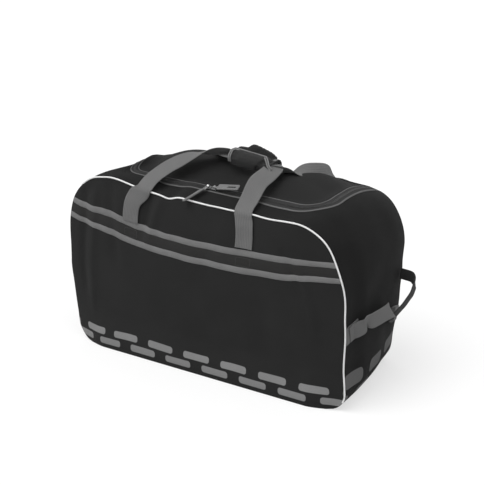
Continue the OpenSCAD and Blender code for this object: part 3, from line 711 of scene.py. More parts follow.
def gusset_strip():
    lip = zip_corner + zip_cut
    arc_rows = turn_y - lip * np.cos(np.linspace(0, math.pi / 2, 16))
    front_rows_y = np.linspace(-seam_y, arc_rows[0], 10)
    side_rows = np.linspace(turn_y, fold_y + 0.003, 30)
    rear_rows_y = np.linspace(fold_y + 0.003, seam_y, 4)
    rows = np.concatenate([front_rows_y, arc_rows[1:], side_rows[1:], rear_rows_y[1:]])
    points, faces, corners = [], [], []

    def add(grid, uv):
        first = len(points)
        points.extend(grid.reshape(-1, 3))
        corners.extend(uv.reshape(-1, 2))
        faces.extend(grid_faces(*grid.shape[:2], first))

    for side in (-1, 1):
        grid, uv = [], []
        for y in rows:
            line, left = end_profile(y, side, float(edge_x(y, zip_cut)))
            grid.append(pack(side * line[:, 0], y, line[:, 1]))
            uv.append(pack(y, left))
        add(settle(np.array(grid)), np.array(uv))
    for bank in (front_rows_y, rear_rows_y):
        t = np.linspace(-1, 1, 90)
        x = np.array([t * float(edge_x(y, zip_cut)) for y in bank])
        y = bank[:, None]
        add(settle(pack(x, y, top_z(x, y))), pack(y, x + past_print))
    made = piece("gusset_cloth", points, faces, corners)
    face_outwards(made.data, merge=2e-4)
    thick = made.modifiers.new("cloth", "SOLIDIFY")
    thick.thickness, thick.offset = top_cloth, -1
    return made


gusset = gusset_strip()
wear(gusset, shaded_gusset_finish, "shell_fabric", "root",
     "gusset_left", "gusset_right", "gusset_front_strip", "gusset_rear_strip")
print("gusset:", len(gusset.data.polygons), "faces")

# %% [markdown]
# ## Base
#
# The floor of the bag is one more sheet. Inside, a loose board keeps it flat; that board is stiff, so the
# model's own solid stays and only gets a finish.


# %% Base panel and board
def base_sheet():
    low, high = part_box("base_panel")
    rows, t = np.linspace(low.y, high.y, 24), np.linspace(-1, 1, 60)
    half = half_length(rows) - foot(rows)[0]
    x = half[:, None] * t[None, :]
    y = rows[:, None]
    ripple = 0.0004 * np.sin(x * 60) * np.sin(y * 70) * (1 - t**2)[None, :]
    face = pack(x, y, 0.0004)
    back = pack(x, y, high.z - 0.0006 + ripple)
    return sheet_mesh("base_cloth", settle(face), settle(back), pack(x, y))


base = wear(base_sheet(), plain_finish, "shell_fabric", "root", "base_panel")
board = frame["nodes"]["base_board"]
dress(board, board_plastic)
board.modifiers.new("soft edge", "BEVEL").width = 0.0008

# %% [markdown]
# ## Lid
#
# The lid is the part of the top inside the zip. It is hinged on a sewn fold at the rear.


# %% Lid and its fold
tape_wide = 0.0168
# Humps of the lid: place along the bag, width and height.
lid_humps = [(-0.082, 0.122, 0.037), (0.190, 0.090, 0.028), (-0.150, 0.050, 0.007), (-0.240, 0.050, 0.007),
             (0.112, 0.050, 0.007)]


def lid_rise(x, y):
    """How far the slack lid stands above the top; its border stays flat under the zip tape."""
    border = zip_y + tape_wide + 0.008
    part = np.clip((y - border) / (fold_y - 0.0023 - border), 0, 1)
    side = np.clip(np.abs(x) / (edge_x(y, -zip_cut) - tape_wide - 0.016), 0, 1)
    return waves(x, lid_humps) * np.sin(math.pi * part) * (1 - side ** np.where(x < 0, 12, 4))


def lid_sheet():
    inner = zip_corner - zip_cut
    arc_rows = turn_y - inner * np.cos(np.linspace(0, math.pi / 2, 16))
    rows = np.concatenate([arc_rows, np.linspace(turn_y, fold_y - 0.008, 34)[1:],
                           np.linspace(fold_y - 0.008, fold_y + 0.004, 9)[1:]])
    t = np.linspace(-1, 1, 110)
    x = np.array([t * float(edge_x(y, -zip_cut)) for y in rows])
    y = rows[:, None]
    face = settle(pack(x, y, top_z(x, y) + lid_rise(x, y)))
    back = face - [0, 0, top_cloth]
    return sheet_mesh("lid_cloth", face, back, pack(y, x + past_print))


lid = wear(lid_sheet(), plain_finish, "shell_fabric", None, "lid_panel")
fold_x = np.linspace(-zip_x + 0.004, zip_x - 0.004, 90)
fold_line = pack(fold_x, fold_y, top_z(fold_x, fold_y) + 0.0006)
lid_fold = tube_mesh("lid_fold_binding", cord_rings(settle(fold_line), 0.0021))
wear(lid_fold, plain_finish, "shell_fabric", None, "lid_fold")
for made in (lid, lid_fold):
    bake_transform(made)
print("lid:", len(lid.data.polygons), "faces; fold at y", round(fold_y, 4))

# %% [markdown]
# ## Piping
#
# A thin white cord wrapped in fabric stiffens both panel seams. It ends a finger's width above the floor. At
# the rear the stuffed gusset rolls a little round the corner, so that cord sits just inside the edge; at the
# left end of the front it is the panel that rolls over the cord.


# %% White piping
cord_radius = 0.0019


def seam_line(y_seam, start=0.020):
    """The panel's outline from the left foot over the top to the right foot."""
    sides = {}
    for side in (-1, 1):
        line, _ = end_profile(y_seam, side, 0.05, 400)
        line = line[line[:, 1] > start]
        sides[side] = pack(side * line[:, 0], line[:, 1])
    return spaced(np.concatenate([sides[-1][::-1], sides[1]]), 0.006)


def on_panel(x, z, sign, lift):
    """Points on the front (-1) or rear (1) panel, lifted off it."""
    return settle(pack(x, sign * (panel_depth(x, z, sign * seam_y) + lift), z))


def piping(name, sign, node, inset):
    line = seam_line(sign * seam_y)
    ahead = unit(np.gradient(line, axis=0))
    line = line + inset * pack(ahead[:, 1], -ahead[:, 0])
    sunk = 0.009 * ease((-line[:, 0] - 0.335) / 0.025) if sign < 0 else 0.0
    line = on_panel(*line.T, sign, 0.0005 - sunk) + [0, 0, 0.0008]
    wear(tube_mesh(name, cord_rings(line, cord_radius)), white_cord, "white_piping", "root", node)
    print(f"{name}: {1000 * way_along(line)[-1]:.0f} mm")


piping("front_piping_cord", -1, "front_piping", inset=0.0)
piping("rear_piping_cord", 1, "rear_piping", inset=0.008)

# %% [markdown]
# ## Stripes and band
#
# Across each panel run two grey stripes with a dark band between them, sewn flat onto the panel and caught in
# the piping at both ends. Towards the ends they rise a little and close in on each other.


# %% Trim of the panels
left_rise, right_rise = 0.034, 0.018
trim_reach = 0.9955
trim_low, trim_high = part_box("front_lower_stripe")[0].z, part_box("front_upper_stripe")[1].z
trim_level = (trim_low + trim_high - left_rise) / 2


def trim_rise(t, sign):
    """How much higher the trim sits at a share t of the way to an end."""
    return np.where(sign * t > 0, left_rise, right_rise) * t * t


def trim(name, sign, node, material, slot):
    low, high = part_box(node)
    bottom, top = low.z, high.z - left_rise
    t = np.linspace(-1, 1, 130)
    level = np.linspace(bottom, top, 6)
    close = 1 - np.where(sign * t > 0, 0.08, 0.22) * ease((np.abs(t) - 0.5) / 0.5)
    z = trim_level + (level[:, None] - trim_level) * close + trim_rise(t, sign)
    y_seam = sign * seam_y
    x = np.where(t > 0, reach(z, y_seam, 1), reach(z, y_seam, -1)) * t * trim_reach
    thick = 0.0011 * np.sqrt(np.clip(1 - np.linspace(-1, 1, 6) ** 8, 0, 1))[:, None]
    face, back = on_panel(x, z, sign, 0.0004 + thick), on_panel(x, z, sign, 0.0001)
    wear(sheet_mesh(name, face, back, pack(z, x)), material, slot, "root", node)


for side_name, sign in panel_sides.items():
    for row in ("upper_stripe", "band", "lower_stripe"):
        finish_and_slot = (dark_band, "band_fabric") if row == "band" else (grey_stripe, "grey_stripe")
        trim(f"{side_name}_{row}_tape", sign, f"{side_name}_{row}", *finish_and_slot)
print("trim from", round(trim_low, 3), "to", round(trim_high, 3))

# %% [markdown]
# ## Zip
#
# Two tapes, one sewn to the gusset and one to the lid, each with a row of teeth. The line of the zip is a U
# that starts at the left rear, turns at the two front corners and ends at the right rear.


# %% Zip tapes
def zip_line(gap):
    """The U of the zip, moved outwards by gap, as points (x, y)."""
    a = np.linspace(0, math.pi / 2, 22)
    side_y = np.linspace(zip_rear, turn_y, 30)
    front_x = np.linspace(-turn_x, turn_x, 90)[:45]
    r = zip_corner + gap
    left = pack(-zip_x - gap, side_y)
    corner = pack(-turn_x - r * np.cos(a), turn_y - r * np.sin(a))
    front = pack(front_x, turn_y - r)
    half = np.concatenate([left[:-1], corner[:-1], front])
    return np.concatenate([half, half[::-1] * [-1, 1]])


# Where a tape starts beside the middle of the zip, how high undersides lie and how far apart the teeth are.
tape_start = 0.0026
underside = 0.0003
tooth_pitch = 0.0024
# Along a tooth: distance outwards from its middle and share of its thickness.
tooth_rings = [(-0.0012, 0.55), (-0.0009, 1.0), (0.0013, 1.0), (0.0018, 0.6)]


def on_top(line):
    """Points (x, y) laid on the settled top of the bag."""
    return settle(np.concatenate([line, top_z(line[:, 0], line[:, 1])[:, None]], -1))


def zip_tape_strip(name, gaps, node, body):
    """A tape beside the teeth; towards the left it is rolled under and looks narrower."""
    face, back, corners = [], [], []
    for gap, lift in gaps:
        line = zip_line(gap)
        rolled = zip_line(np.sign(gap) * (tape_start + 0.58 * (abs(gap) - tape_start)))
        line = mix(rolled, line, 0.7 * ease((line[:, :1] - 0.02) / 0.16))
        if not face:
            along = way_along(line)
        rest = on_top(line)
        face.append(rest + [0, 0, lift])
        back.append(rest + [0, 0, underside])
        corners.append(pack(abs(gap), along))
    made = sheet_mesh(name, np.array(face), np.array(back), np.array(corners))
    wear(made, zip_tape, "zip_tape", body, node)


# Across a tape: distance from the middle of the zip and height of its face.
outer_gaps = [(tape_start, 0.0012), (0.006, 0.0013), (0.0128, 0.0013), (0.0132, 0.0019), (0.0160, 0.0019),
              (tape_wide, 0.0012)]
inner_gaps = [(-gap, lift) for gap, lift in outer_gaps]
zip_tape_strip("outer_zip_tape_cloth", outer_gaps, "outer_zip_tape", "root")
zip_tape_strip("inner_zip_tape_cloth", inner_gaps, "inner_zip_tape", "lid")


# %% Zip teeth
def zip_teeth(name, sign, node, body, shift):
    """One row of coil: a short round bar for each turn, from the tape to the middle."""
    line = spaced(zip_line(sign * tape_start / 2), tooth_pitch)
    ahead = unit(np.gradient(line, axis=0))
    out = sign * pack(ahead[:, 1], -ahead[:, 0])
    place = on_top(line + ahead * shift) + [0, 0, 0.0011]
    turns = np.linspace(0, 2 * math.pi, 8, endpoint=False)
    up = np.array([0.0, 0.0, 1.0])
    points, faces = [], []
    for p, d, o in zip(place, ahead, out):
        d, o = np.array([*d, 0.0]), np.array([*o, 0.0])
        faces += tube_faces(4, len(turns), len(points))
        for t, r in tooth_rings:
            points += [p + o * t + r * (0.00085 * math.cos(k) * d + 0.0010 * math.sin(k) * up) for k in turns]
    made = piece(name, points, faces, np.zeros((len(points), 2)))
    wear(made, zip_coil, "zip_coil", body, node)
    print(f"{name}: {len(place)} turns")


zip_teeth("outer_zip_coil", 1, "outer_zip_teeth", "root", shift=0.0)
zip_teeth("inner_zip_coil", -1, "inner_zip_teeth", "lid", shift=tooth_pitch / 2)


# %% Ends of the zip
def zip_stop(name, node):
    """A folded scrap of fabric over each end of the zip."""
    points, faces, corners = [], [], []
    x_share, y_share = np.linspace(-1, 1, 14), np.linspace(-1, 1, 8)
    y = np.linspace(zip_rear + 0.0005, fold_y - 0.0005, len(y_share))
    soft = (1 - x_share**6)[None, :] * (1 - y_share**6)[:, None]
    for side in (-1, 1):
        gx, gy = np.meshgrid(side * (zip_x + 0.0165 * x_share), y)
        rest = settle(pack(gx, gy, top_z(gx, gy)))
        face = rest + pack(0, 0, 0.0005 + 0.0021 * soft)
        scrap_points, scrap_faces = closed_sheet(face, rest + [0, 0, underside], len(points))
        points.extend(scrap_points)
        faces.extend(scrap_faces)
        corners += list(zip(gx.ravel(), gy.ravel())) * 2
    wear(piece(name, points, faces, corners), black_webbing, "black_webbing", "root", node)


zip_stop("zip_end_tab_cloth", "zip_end_tabs")

# %% [markdown]
# ## Sliders and pulls
#
# The sliders and their links are small die castings. The model's solids have the right shape, so they stay,
# with their edges rounded. The pull tabs are flat moulded grips with a slot; each is built round its slot
# like a flattened ring, laid where the model's tab lies and then turned a little.

# %% Slider metal
for node in ("left_slider", "left_pull_link", "right_slider", "right_pull_link"):
    part = frame["nodes"][node]
    dress(part, slider_metal)
    soft = part.modifiers.new("soft edge", "BEVEL")
    soft.width, soft.segments, soft.limit_method = 0.0004, 2, "ANGLE"


# %% Pull tabs
def rounded_outline(long, wide, radius, count=72):
    """Points round a rectangle with round corners, at even steps, from the middle of one end."""
    corners = []
    for sx, sy, turn in ((1, 1, 0), (-1, 1, 1), (-1, -1, 2), (1, -1, 3)):
        a = np.linspace(0, math.pi / 2, 9) + turn * math.pi / 2
        corners.append([sx * (long / 2 - radius), sy * (wide / 2 - radius)]
                       + radius * pack(np.cos(a), np.sin(a)))
    line = np.concatenate(corners)
    line = np.concatenate([[[long / 2, 0]], line, [[long / 2, 0]]])
    return spaced(line, way_along(line)[-1] / count)[:count]


# The section of a grip: share of the way from its slot to its edge, share of half its thickness.
grip_upper = [(0, 0.7), (0.08, 1.0), (0.5, 0.92), (0.9, 1.0), (1, 0.6)]
grip_section = [(0, -0.7), *grip_upper, *((share, -high) for share, high in grip_upper[:0:-1])]


def pull_tab(side_name, roll, swing, tip_up, over):
    """A tab rolled about its length, swung to the side, with its tip lifted and moved over its link."""
    name, node = side_name + "_pull_grip", side_name + "_pull_tab"
    points = np.array([v.co for v in frame["nodes"][node].data.vertices])
    axes = np.linalg.svd(points - points.mean(0), full_matrices=False)[2]
    middle = points.mean(0)
    span = [(points - middle) @ a for a in axes]
    middle = middle + sum(a * (s.max() + s.min()) / 2 for a, s in zip(axes, span))
    long, wide, thick = [float(np.ptp(s)) for s in span]
    link_place = np.array(sum(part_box(side_name + "_pull_link"), Vector()) / 2)
    if (link_place - middle) @ axes[0] > 0:
        axes = -axes
    root = middle - axes[0] * (long / 2 + over)
    ahead = unit(axes[0] + [swing, 0, tip_up])
    side = unit(np.cross(np.cross(ahead, axes[1]), ahead))
    side = side * math.cos(roll) + np.cross(ahead, side) * math.sin(roll)
    axes = np.array([ahead, side, np.cross(ahead, side)])
    middle = root + ahead * long / 2 + [0, 0, 0.3 * wide * abs(math.sin(roll))]
    outer = rounded_outline(long, wide, radius=0.0035)
    slot_line = rounded_outline(long * 0.40, wide=0.0032, radius=0.0015) + [long * 0.16, 0]
    rings = []
    for o, s in zip(outer, slot_line):
        ring = [np.array([*mix(s, o, share), high * thick / 2]) for share, high in grip_section]
        rings.append([middle + place @ axes for place in ring])
    rings = np.array(rings)
    flat = (rings - middle) @ axes[:2].T
    made = tube_mesh(name, rings, flat[..., ::-1], looped=True, sharp=40)
    wear(made, pull_fabric, "pull_fabric", side_name + "_pull", node)
    print(f"{name}: {1000 * long:.0f} x {1000 * wide:.0f} x {1000 * thick:.1f} mm")


pull_tab("left", roll=0.45, swing=-0.30, tip_up=-0.11, over=0.0)
pull_tab("right", roll=-0.35, swing=0.0, tip_up=0.14, over=0.010)

# %% [markdown]
# ## Carrying handles
#
# Each handle is one length of webbing: sewn to the panel, up over the seam, back to the grip and down again.
# Seen from the side, all of it lies on one bent surface, so the strap is drawn flat on that surface, as
# (x, way along), and then bent. It turns at the seam, where it passes from the bag to the swinging loop.
# Last, the slack arms are twisted about their own direction.

# %% Handle surface
axis_y, axis_z = -joint_place["front_handle_swing"][1], joint_place["front_handle_swing"][2]
strap_wide, strap_thick = 0.044, 0.0022
# Radius of the bend between the rising loop and the level grip, and how far in front of the middle it is.
bend, bend_y = 0.040, 0.0194
wrap_low, wrap_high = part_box("handle_wrap")
leg_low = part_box("front_handle_left_leg")[0].z
# Where the left and the right leg start at the trim and where they pass the seam.
leg_feet = (-0.188, 0.126)
leg_tops = {"front": (-0.156, 0.117), "rear": (-0.195, 0.114)}
# How far outside the grip an arm turns into it; an arm's shares of the way in and up to that turn.
grip_turn = 0.021
loop_bow = [(0.0, 0.0), (0.03, 0.14), (0.18, 0.38), (0.4, 0.6), (0.66, 0.8), (1.0, 1.0)]


def handle_side(level):
    """The side view of a handle: way along, y, height and slope, and the way to the middle of the bag."""
    start = np.array([-axis_y, axis_z])
    to = np.array([-bend_y, level - bend]) - start
    far = np.linalg.norm(to)
    slope = math.atan2(to[1], to[0]) + math.asin(bend / far)
    straight = math.sqrt(far * far - bend * bend)
    step = 0.0005
    s = np.arange(-0.14, straight + bend * slope + 0.075, step)
    upright = 1 - ease((s + 0.010) / 0.018)
    angle = slope + (math.pi / 2 - slope) * upright - np.clip((s - straight) / bend, 0, slope)
    y = np.cumsum(np.cos(angle)) * step
    z = np.cumsum(np.sin(angle)) * step
    k = np.argmin(np.abs(s - 0.05))
    y += start[0] + 0.05 * math.cos(slope) - y[k]
    z += start[1] + 0.05 * math.sin(slope) - z[k]
    return s, y, z, angle, straight + bend * slope + bend_y


# %% Straps of the handles
def grip_sag(x):
    """The grip hangs a little lower at its right end."""
    return mix(-0.002, -0.013, np.clip((x - wrap_low.x) / (wrap_high.x - wrap_low.x), 0, 1))


def twisted(rings, turn):
    """Turns each ring of a strap about the strap's own direction."""
    middle = rings.mean(1, keepdims=True)
    ahead = unit(np.gradient(middle[:, 0], axis=0))[:, None]
    arm = rings - middle
    c, sn = np.cos(turn)[:, None, None], np.sin(turn)[:, None, None]
    along = (arm * ahead).sum(-1, keepdims=True) * ahead
    return middle + arm * c + np.cross(np.broadcast_to(ahead, arm.shape), arm) * sn + along * (1 - c)


def handle_route(tops, grip, grip_s):
    """The middle line of a strap as (x, way along): up the left arm, along the grip, down the right arm."""
    low = leg_low - axis_z

    def arm(foot_x, top_x, end_x):
        leg = [(mix(foot_x, top_x, t**4), mix(low, -0.004, t)) for t in np.linspace(0, 1, 9)]
        return leg + [(mix(top_x, end_x, a), mix(0.020, grip_s, b)) for a, b in loop_bow]

    left = arm(leg_feet[0], tops[0], grip[0] - grip_turn)
    right = arm(leg_feet[1], tops[1], grip[1] + grip_turn)
    route = spaced(left + right[::-1], 0.002)
    eased = evened(route, 17)
    eased[0], eased[-1] = route[0], route[-1]
    return spaced(eased, 0.004)


def handle(side_name, sign, grip, twist, edge_turn):
    """One handle; grip gives the ends of its upper part, twist and edge_turn the turn of its arms."""
    name, body = side_name + "_handle_webbing", side_name + "_handle"
    nodes = [f"{body}_{part}" for part in ("left_leg", "right_leg", "loop")]
    s_way, y_way, z_way, slope_way, grip_s = handle_side(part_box(nodes[2])[1].z - strap_thick / 2)
    route = handle_route(leg_tops[side_name], grip, grip_s)
    ahead = unit(np.gradient(route, axis=0))
    side = pack(-ahead[:, 1], ahead[:, 0])
    w, f = webbing_section[:, 0] * strap_wide / 2, webbing_section[:, 1] * strap_thick / 2
    gathered = 1 - 0.16 * ease((route[:, 1] / grip_s - 0.86) / 0.12)
    flat = route[:, None] + (gathered[:, None] * w[None, :])[..., None] * side[:, None]
    x, s = flat[..., 0], flat[..., 1]
    y, z = np.interp(s, s_way, y_way), np.interp(s, s_way, z_way)
    slope = np.interp(s, s_way, slope_way)
    depth = panel_depth(sign * -x, np.clip(z, 0, seam_height), sign * seam_y)
    lie = -(depth + mix(0.0048, 0.0034, ease((-s - 0.03) / 0.03)))
    y = mix(y, lie, ease(-s / 0.03))
    place = pack(x, y - np.sin(slope) * f, z + np.cos(slope) * f)
    if sign > 0:
        place = place * [-1, -1, 1]
    sewn = (1 - ease((s + 0.004) / 0.02))[..., None]
    place = mix(place, settle(place), sewn)
    way = np.clip(route[:, 1] / grip_s, 0, 1)
    first = np.arange(len(route)) < len(route) / 2
    turn = np.where(first, twist[0], twist[1]) * hump((way - 0.57) / 0.37)
    slack = np.abs(turn) / 1.25
    outside = 1 - ease((route[:, 0] - grip[0] + 0.004) / 0.030)
    turn = turn + edge_turn * first * outside * ease((way - 0.55) / 0.40)
    sag = slack * (0.008 * hump((way - 0.36) / 0.18) - 0.004 - 0.018 * hump((way - 0.86) / 0.11))
    place[..., 2] += grip_sag(place[..., 0]) * ease((s - 0.08) / 0.06) + sag[:, None]
    place[..., 0] += sign * (0.012 * slack * hump((way - 0.40) / 0.25))[:, None]
    place = twisted(place, turn)
    along = way_along(route)
    made = tube_mesh(name, place, pack(w, along[:, None]), sharp=60)
    wear(made, grey_webbing, "grey_webbing", None, *nodes)
    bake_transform(made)
    print(f"{name}: {1000 * along[-1]:.0f} mm of webbing")


handle("front", -1, grip=(wrap_low.x, wrap_high.x - 0.013), twist=(0.0, -0.45), edge_turn=-0.72)
handle("rear", 1, grip=(-wrap_high.x + 0.011, -wrap_low.x), twist=(-1.25, -0.3), edge_turn=1.0)

# %% [markdown]
# ## Stitching
#
# The legs run on under the trim and are sewn through it: a box of stitches in the dark band marks each one.
# A stitch is a short thread with thin ends, laid on the cloth.


# %% Rows of stitches
# Along a stitch: share of its length and of its thickness.
thread_rings = [(-0.5, 0.4), (-0.3, 1), (0.3, 1), (0.5, 0.4)]


def stitches(name, lines, facing, pitch=0.004, long=0.0028, thick=0.00035):
    """Rows of short threads laid on lines of points; facing is the outward direction."""
    points, faces = [], []
    turns = np.linspace(0, 2 * math.pi, 6, endpoint=False)
    for line in lines:
        line = spaced(line, pitch / 2)
        for a, b in zip(line[:-2:2], line[2::2]):
            ahead = unit(b - a)
            side = unit(np.cross(ahead, facing))
            up = np.cross(side, ahead)
            faces += tube_faces(4, len(turns), len(points))
            for t, r in thread_rings:
                middle = (a + b) / 2 + ahead * t * long
                points += [middle + thick * r * (1.6 * math.cos(k) * side + math.sin(k) * up) for k in turns]
    return piece(name, points, faces, np.zeros((len(points), 2)))


band_bottom, band_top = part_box("front_band")[0].z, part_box("front_band")[1].z - left_rise
for side_name, sign in panel_sides.items():
    boxes = []
    for foot_x in leg_feet:
        x, inset = -sign * foot_x, strap_wide / 2 - 0.004
        up = float(trim_rise(np.array(x / front_half), sign))
        left_x, right_x, low_z, high_z = x - inset, x + inset, band_bottom + up + 0.003, band_top + up - 0.003
        box = [(left_x, low_z), (right_x, low_z), (right_x, high_z), (left_x, high_z), (left_x, low_z)]
        boxes.append(on_panel(*spaced(box, 0.003).T, sign, 0.0018))
    sewn_box = stitches(side_name + "_leg_stitches", boxes, np.array([0.0, sign, 0.0]))
    wear(sewn_box, thread, "black_webbing", "root")
    print(f"{side_name} legs: {len(sewn_box.data.polygons) // 20} stitches")

# %% [markdown]
# ## Padded wrap
#
# A stuffed rectangle of fabric is folded round the two loops and closed on top: its front flap lies over the
# grip, and a corner of the rear flap stands up behind it. Both flaps and the sleeve are first built as plain
# closed pieces that run into each other. A voxel remesh makes one even skin of them, and twenty frames of
# cloth simulation under a little air pressure blow that skin up, held where the straps and the bindings are.
# The move of each point is capped, so the cushion stays in its place.


# %% Stuffing by cloth simulation
last_frame = 20


def evaluated(made):
    """The piece as its modifiers leave it."""
    return made.evaluated_get(bpy.context.evaluated_depsgraph_get())


def stuffed(made, voxel, held, most):
    """Blows up a closed piece; held tells which points stay, most is the longest way a point may move."""
    even = made.modifiers.new("even mesh", "REMESH")
    even.mode, even.voxel_size = "VOXEL", voxel
    made.data = bpy.data.meshes.new_from_object(evaluated(made))
    made.modifiers.clear()
    start = np.array([v.co for v in made.data.vertices])
    blown = start
    group = made.vertex_groups.new(name="held")
    group.add([int(i) for i in np.flatnonzero(held(start))], 1.0, "REPLACE")
    cloth_sim = made.modifiers.new("stuffing", "CLOTH")
    how = cloth_sim.settings
    how.use_pressure, how.uniform_pressure_force = True, 4.0
    how.effector_weights.gravity, how.vertex_group_mass, how.shrink_min = 0.0, "held", -0.10
    cloth_sim.point_cache.frame_start, cloth_sim.point_cache.frame_end = 1, last_frame
    for moment in range(1, last_frame + 1):
        bpy.context.scene.frame_set(moment)
    blown = np.array([v.co for v in evaluated(made).data.vertices])
    bpy.context.scene.frame_set(1)
    made.modifiers.clear()
    made.vertex_groups.clear()
    move = blown - start
    far = np.linalg.norm(move, axis=1, keepdims=True)
    move = move * np.minimum(1, most / np.maximum(far, 1e-9))
    made.data.vertices.foreach_set("co", (start + move).astype(np.float32).ravel())
    cloth_map(made.data, pack(start[:, 1] + start[:, 2], start[:, 0]))
    made.data.shade_smooth()
    print(f"{made.name}: {len(start)} points, moved {1000 * far.mean():.1f} mm before the cap")
    made.modifiers.new("smooth", "SUBSURF").levels = 1
    return made


# %% Handle wrap
wrap_long = wrap_high.x - wrap_low.x
wrap_y, wrap_z = (wrap_low.y + wrap_high.y) / 2, (wrap_low.z + wrap_high.z) / 2
wrap_deep, wrap_tall = (wrap_high.y - wrap_low.y) / 2, (wrap_high.z - wrap_low.z) / 2


def wrap_place(x, y, z):
    """A point of the wrap, from its place along it and across its middle."""
    return pack(x, wrap_y + y, wrap_z + z + grip_sag(x))


def sleeve_ring(x, inset):
    """A ring of the sleeve: a rectangle with very round corners."""
    a = np.linspace(0, 2 * math.pi, 72, endpoint=False)
    y, z = [np.sign(v) * np.abs(v) ** 0.6 for v in (np.cos(a), np.sin(a))]
    return wrap_place(x, y * (wrap_deep - inset), z * (wrap_tall - inset))


flap_slant, flap_thick = 0.026, 0.0055


def flap_sheet(name, x, section, slant=0.0):
    """A padded flap: section gives (y, z) down the flap for each x. The right edge can slant outwards."""
    face = []
    for at in x:
        down = np.array(section(at))
        share = np.linspace(-0.4, 1, len(down)) * ease((at - wrap_low.x) / wrap_long) ** 2
        face.append(wrap_place(at + slant * share, *down.T))
    face = np.array(face)
    ahead = unit(np.gradient(face, axis=1))
    out = np.cross(ahead, [1.0, 0.0, 0.0]) * flap_thick / 2
    return sheet_mesh(name, face + out, face - out, np.zeros((*face.shape[:2], 2)))


def front_flap(x):
    """The section of the front flap, from its edge on top down the front; it is the same at every x."""
    return [(-0.004, wrap_tall + 0.0035), (-0.012, wrap_tall + 0.0045), (-0.019, wrap_tall + 0.002),
            (-wrap_deep - 0.001, wrap_tall * 0.55), (-wrap_deep - 0.003, 0.0),
            (-wrap_deep - 0.001, -wrap_tall * 0.6), (-wrap_deep + 0.004, -wrap_tall - 0.004)]


# The raised corner of the rear flap: places along the wrap and the height of the flap's edge there.
ear_x = wrap_low.x + np.array([0.006, 0.010, 0.032, 0.036, 0.043, 0.051, 0.062, 0.076, 0.092, 0.110])
ear_high = np.array([0.000, 0.0045, 0.0060, 0.0110, 0.0165, 0.0180, 0.0165, 0.0140, 0.0110, 0.0060])


def rear_flap(x):
    """The section of the rear flap, from inside the sleeve up to its edge."""
    high = wrap_tall + 0.001 + np.interp(x, ear_x, ear_high)
    return [(0.010 + 0.004 * t, mix(wrap_tall - 0.006, high, t)) for t in np.linspace(0, 1, 5)]


def wrap_pad():
    x = np.linspace(wrap_low.x, wrap_high.x, 50)
    rings = np.concatenate([np.array([sleeve_ring(at, 0.001) for at in x]),
                            np.array([sleeve_ring(at, 0.0062) for at in x[::-1]])])
    parts = [tube_mesh("handle_wrap_pad", rings, looped=True, corners=np.zeros((*rings.shape[:2], 2))),
             flap_sheet("front flap", x[4:-2], front_flap, flap_slant),
             flap_sheet("rear flap", np.linspace(ear_x[0], ear_x[-1], 26), rear_flap)]
    with bpy.context.temp_override(active_object=parts[0], selected_editable_objects=parts):
        bpy.ops.object.join()
    return parts[0]


def wrap_held(points):
    """Straps hold the inside, bindings hold both ends."""
    y, z = points[:, 1] - wrap_y, points[:, 2] - wrap_z - grip_sag(points[:, 0])
    inside = (np.abs(y) < wrap_deep - 0.005) & (np.abs(z) < wrap_tall - 0.005)
    ends = (points[:, 0] < wrap_low.x + 0.003) | (points[:, 0] > wrap_high.x - 0.003)
    return inside | ends


wrap = stuffed(wrap_pad(), voxel=0.0026, held=wrap_held, most=0.0028)
wear(wrap, wrap_fabric, "wrap_fabric", "front_handle", "handle_wrap")


# %% Bindings of the wrap
def binding(name, line, shift, wide=0.0030):
    """A narrow tape on the wrap, moved sideways by shift from its line."""
    line = spaced(line, 0.003)
    ahead = unit(np.gradient(line, axis=0))
    out = unit((line - wrap_place(line[:, 0], 0.0, 0.0)) * [0, 1, 1.6])
    side = unit(np.cross(out, ahead))
    tape = webbing(name, line + side * shift, side, wide, 0.0016)
    wear(tape, binding_tape, "grey_webbing", "front_handle")


def flap_edge():
    """Up the left edge of the front flap, along its upper edge and down its right edge."""
    sides = [(-wrap_deep - 0.004, -wrap_tall * 0.8), (-wrap_deep - 0.0062, 0.0),
             (-wrap_deep - 0.004, wrap_tall * 0.6), (-0.020, wrap_tall + 0.0055)]
    left = [wrap_place(wrap_low.x + 0.009, y, z) for y, z in sides]
    top_x = np.linspace(wrap_low.x + 0.013, wrap_high.x - 0.018, 12)
    top = [wrap_place(x, -0.011, wrap_tall + 0.0082) for x in top_x]
    right = [wrap_place(wrap_high.x - 0.005 + flap_slant * share, y, z)
             for share, (y, z) in zip((-0.15, 0.25, 0.6), sides[:0:-1])]
    return np.array(left + top + right)


for number, shift in enumerate((-0.0022, 0.0022)):
    binding(f"wrap_flap_binding_{number + 1}", flap_edge(), shift)
rear_end = np.array([wrap_place(wrap_high.x - 0.002, y, z) for y, z in
                     ((0.0, wrap_tall + 0.001), (0.012, wrap_tall + 0.002), (0.021, wrap_tall * 0.8),
                      (wrap_deep + 0.0015, 0.0), (wrap_deep, -wrap_tall * 0.7))])
binding("wrap_end_binding", rear_end, shift=0.0, wide=0.008)

# %% [markdown]
# ## Grab handles and end loop
#
# Each end has a flat grab strap between two sewn tabs. The strap stands out from the bag; it is drawn in plan
# as a shallow bow. The right end also has a narrow black loop that starts near the rear seam and falls
# onto the rear end of the grab strap, where a black patch is sewn over the strap.


# %% Grab straps and tabs
# Width of a strap, how far its sewn ends stand off the bag, thickness of a tab and height of its face.
grab_wide = 0.037
end_stand = 0.0045
tab_thick, tab_high = 0.0023, 0.0027


def tab_slope(y):
    """How much higher than its level a strap sits: it arches up between its tabs and falls to the rear."""
    arch = 0.013 * (1 - ((y + 0.04) / 0.115) ** 2)
    return arch - 0.009 * ease((-y - 0.07) / 0.05) - 0.034 * ease(y / 0.08)


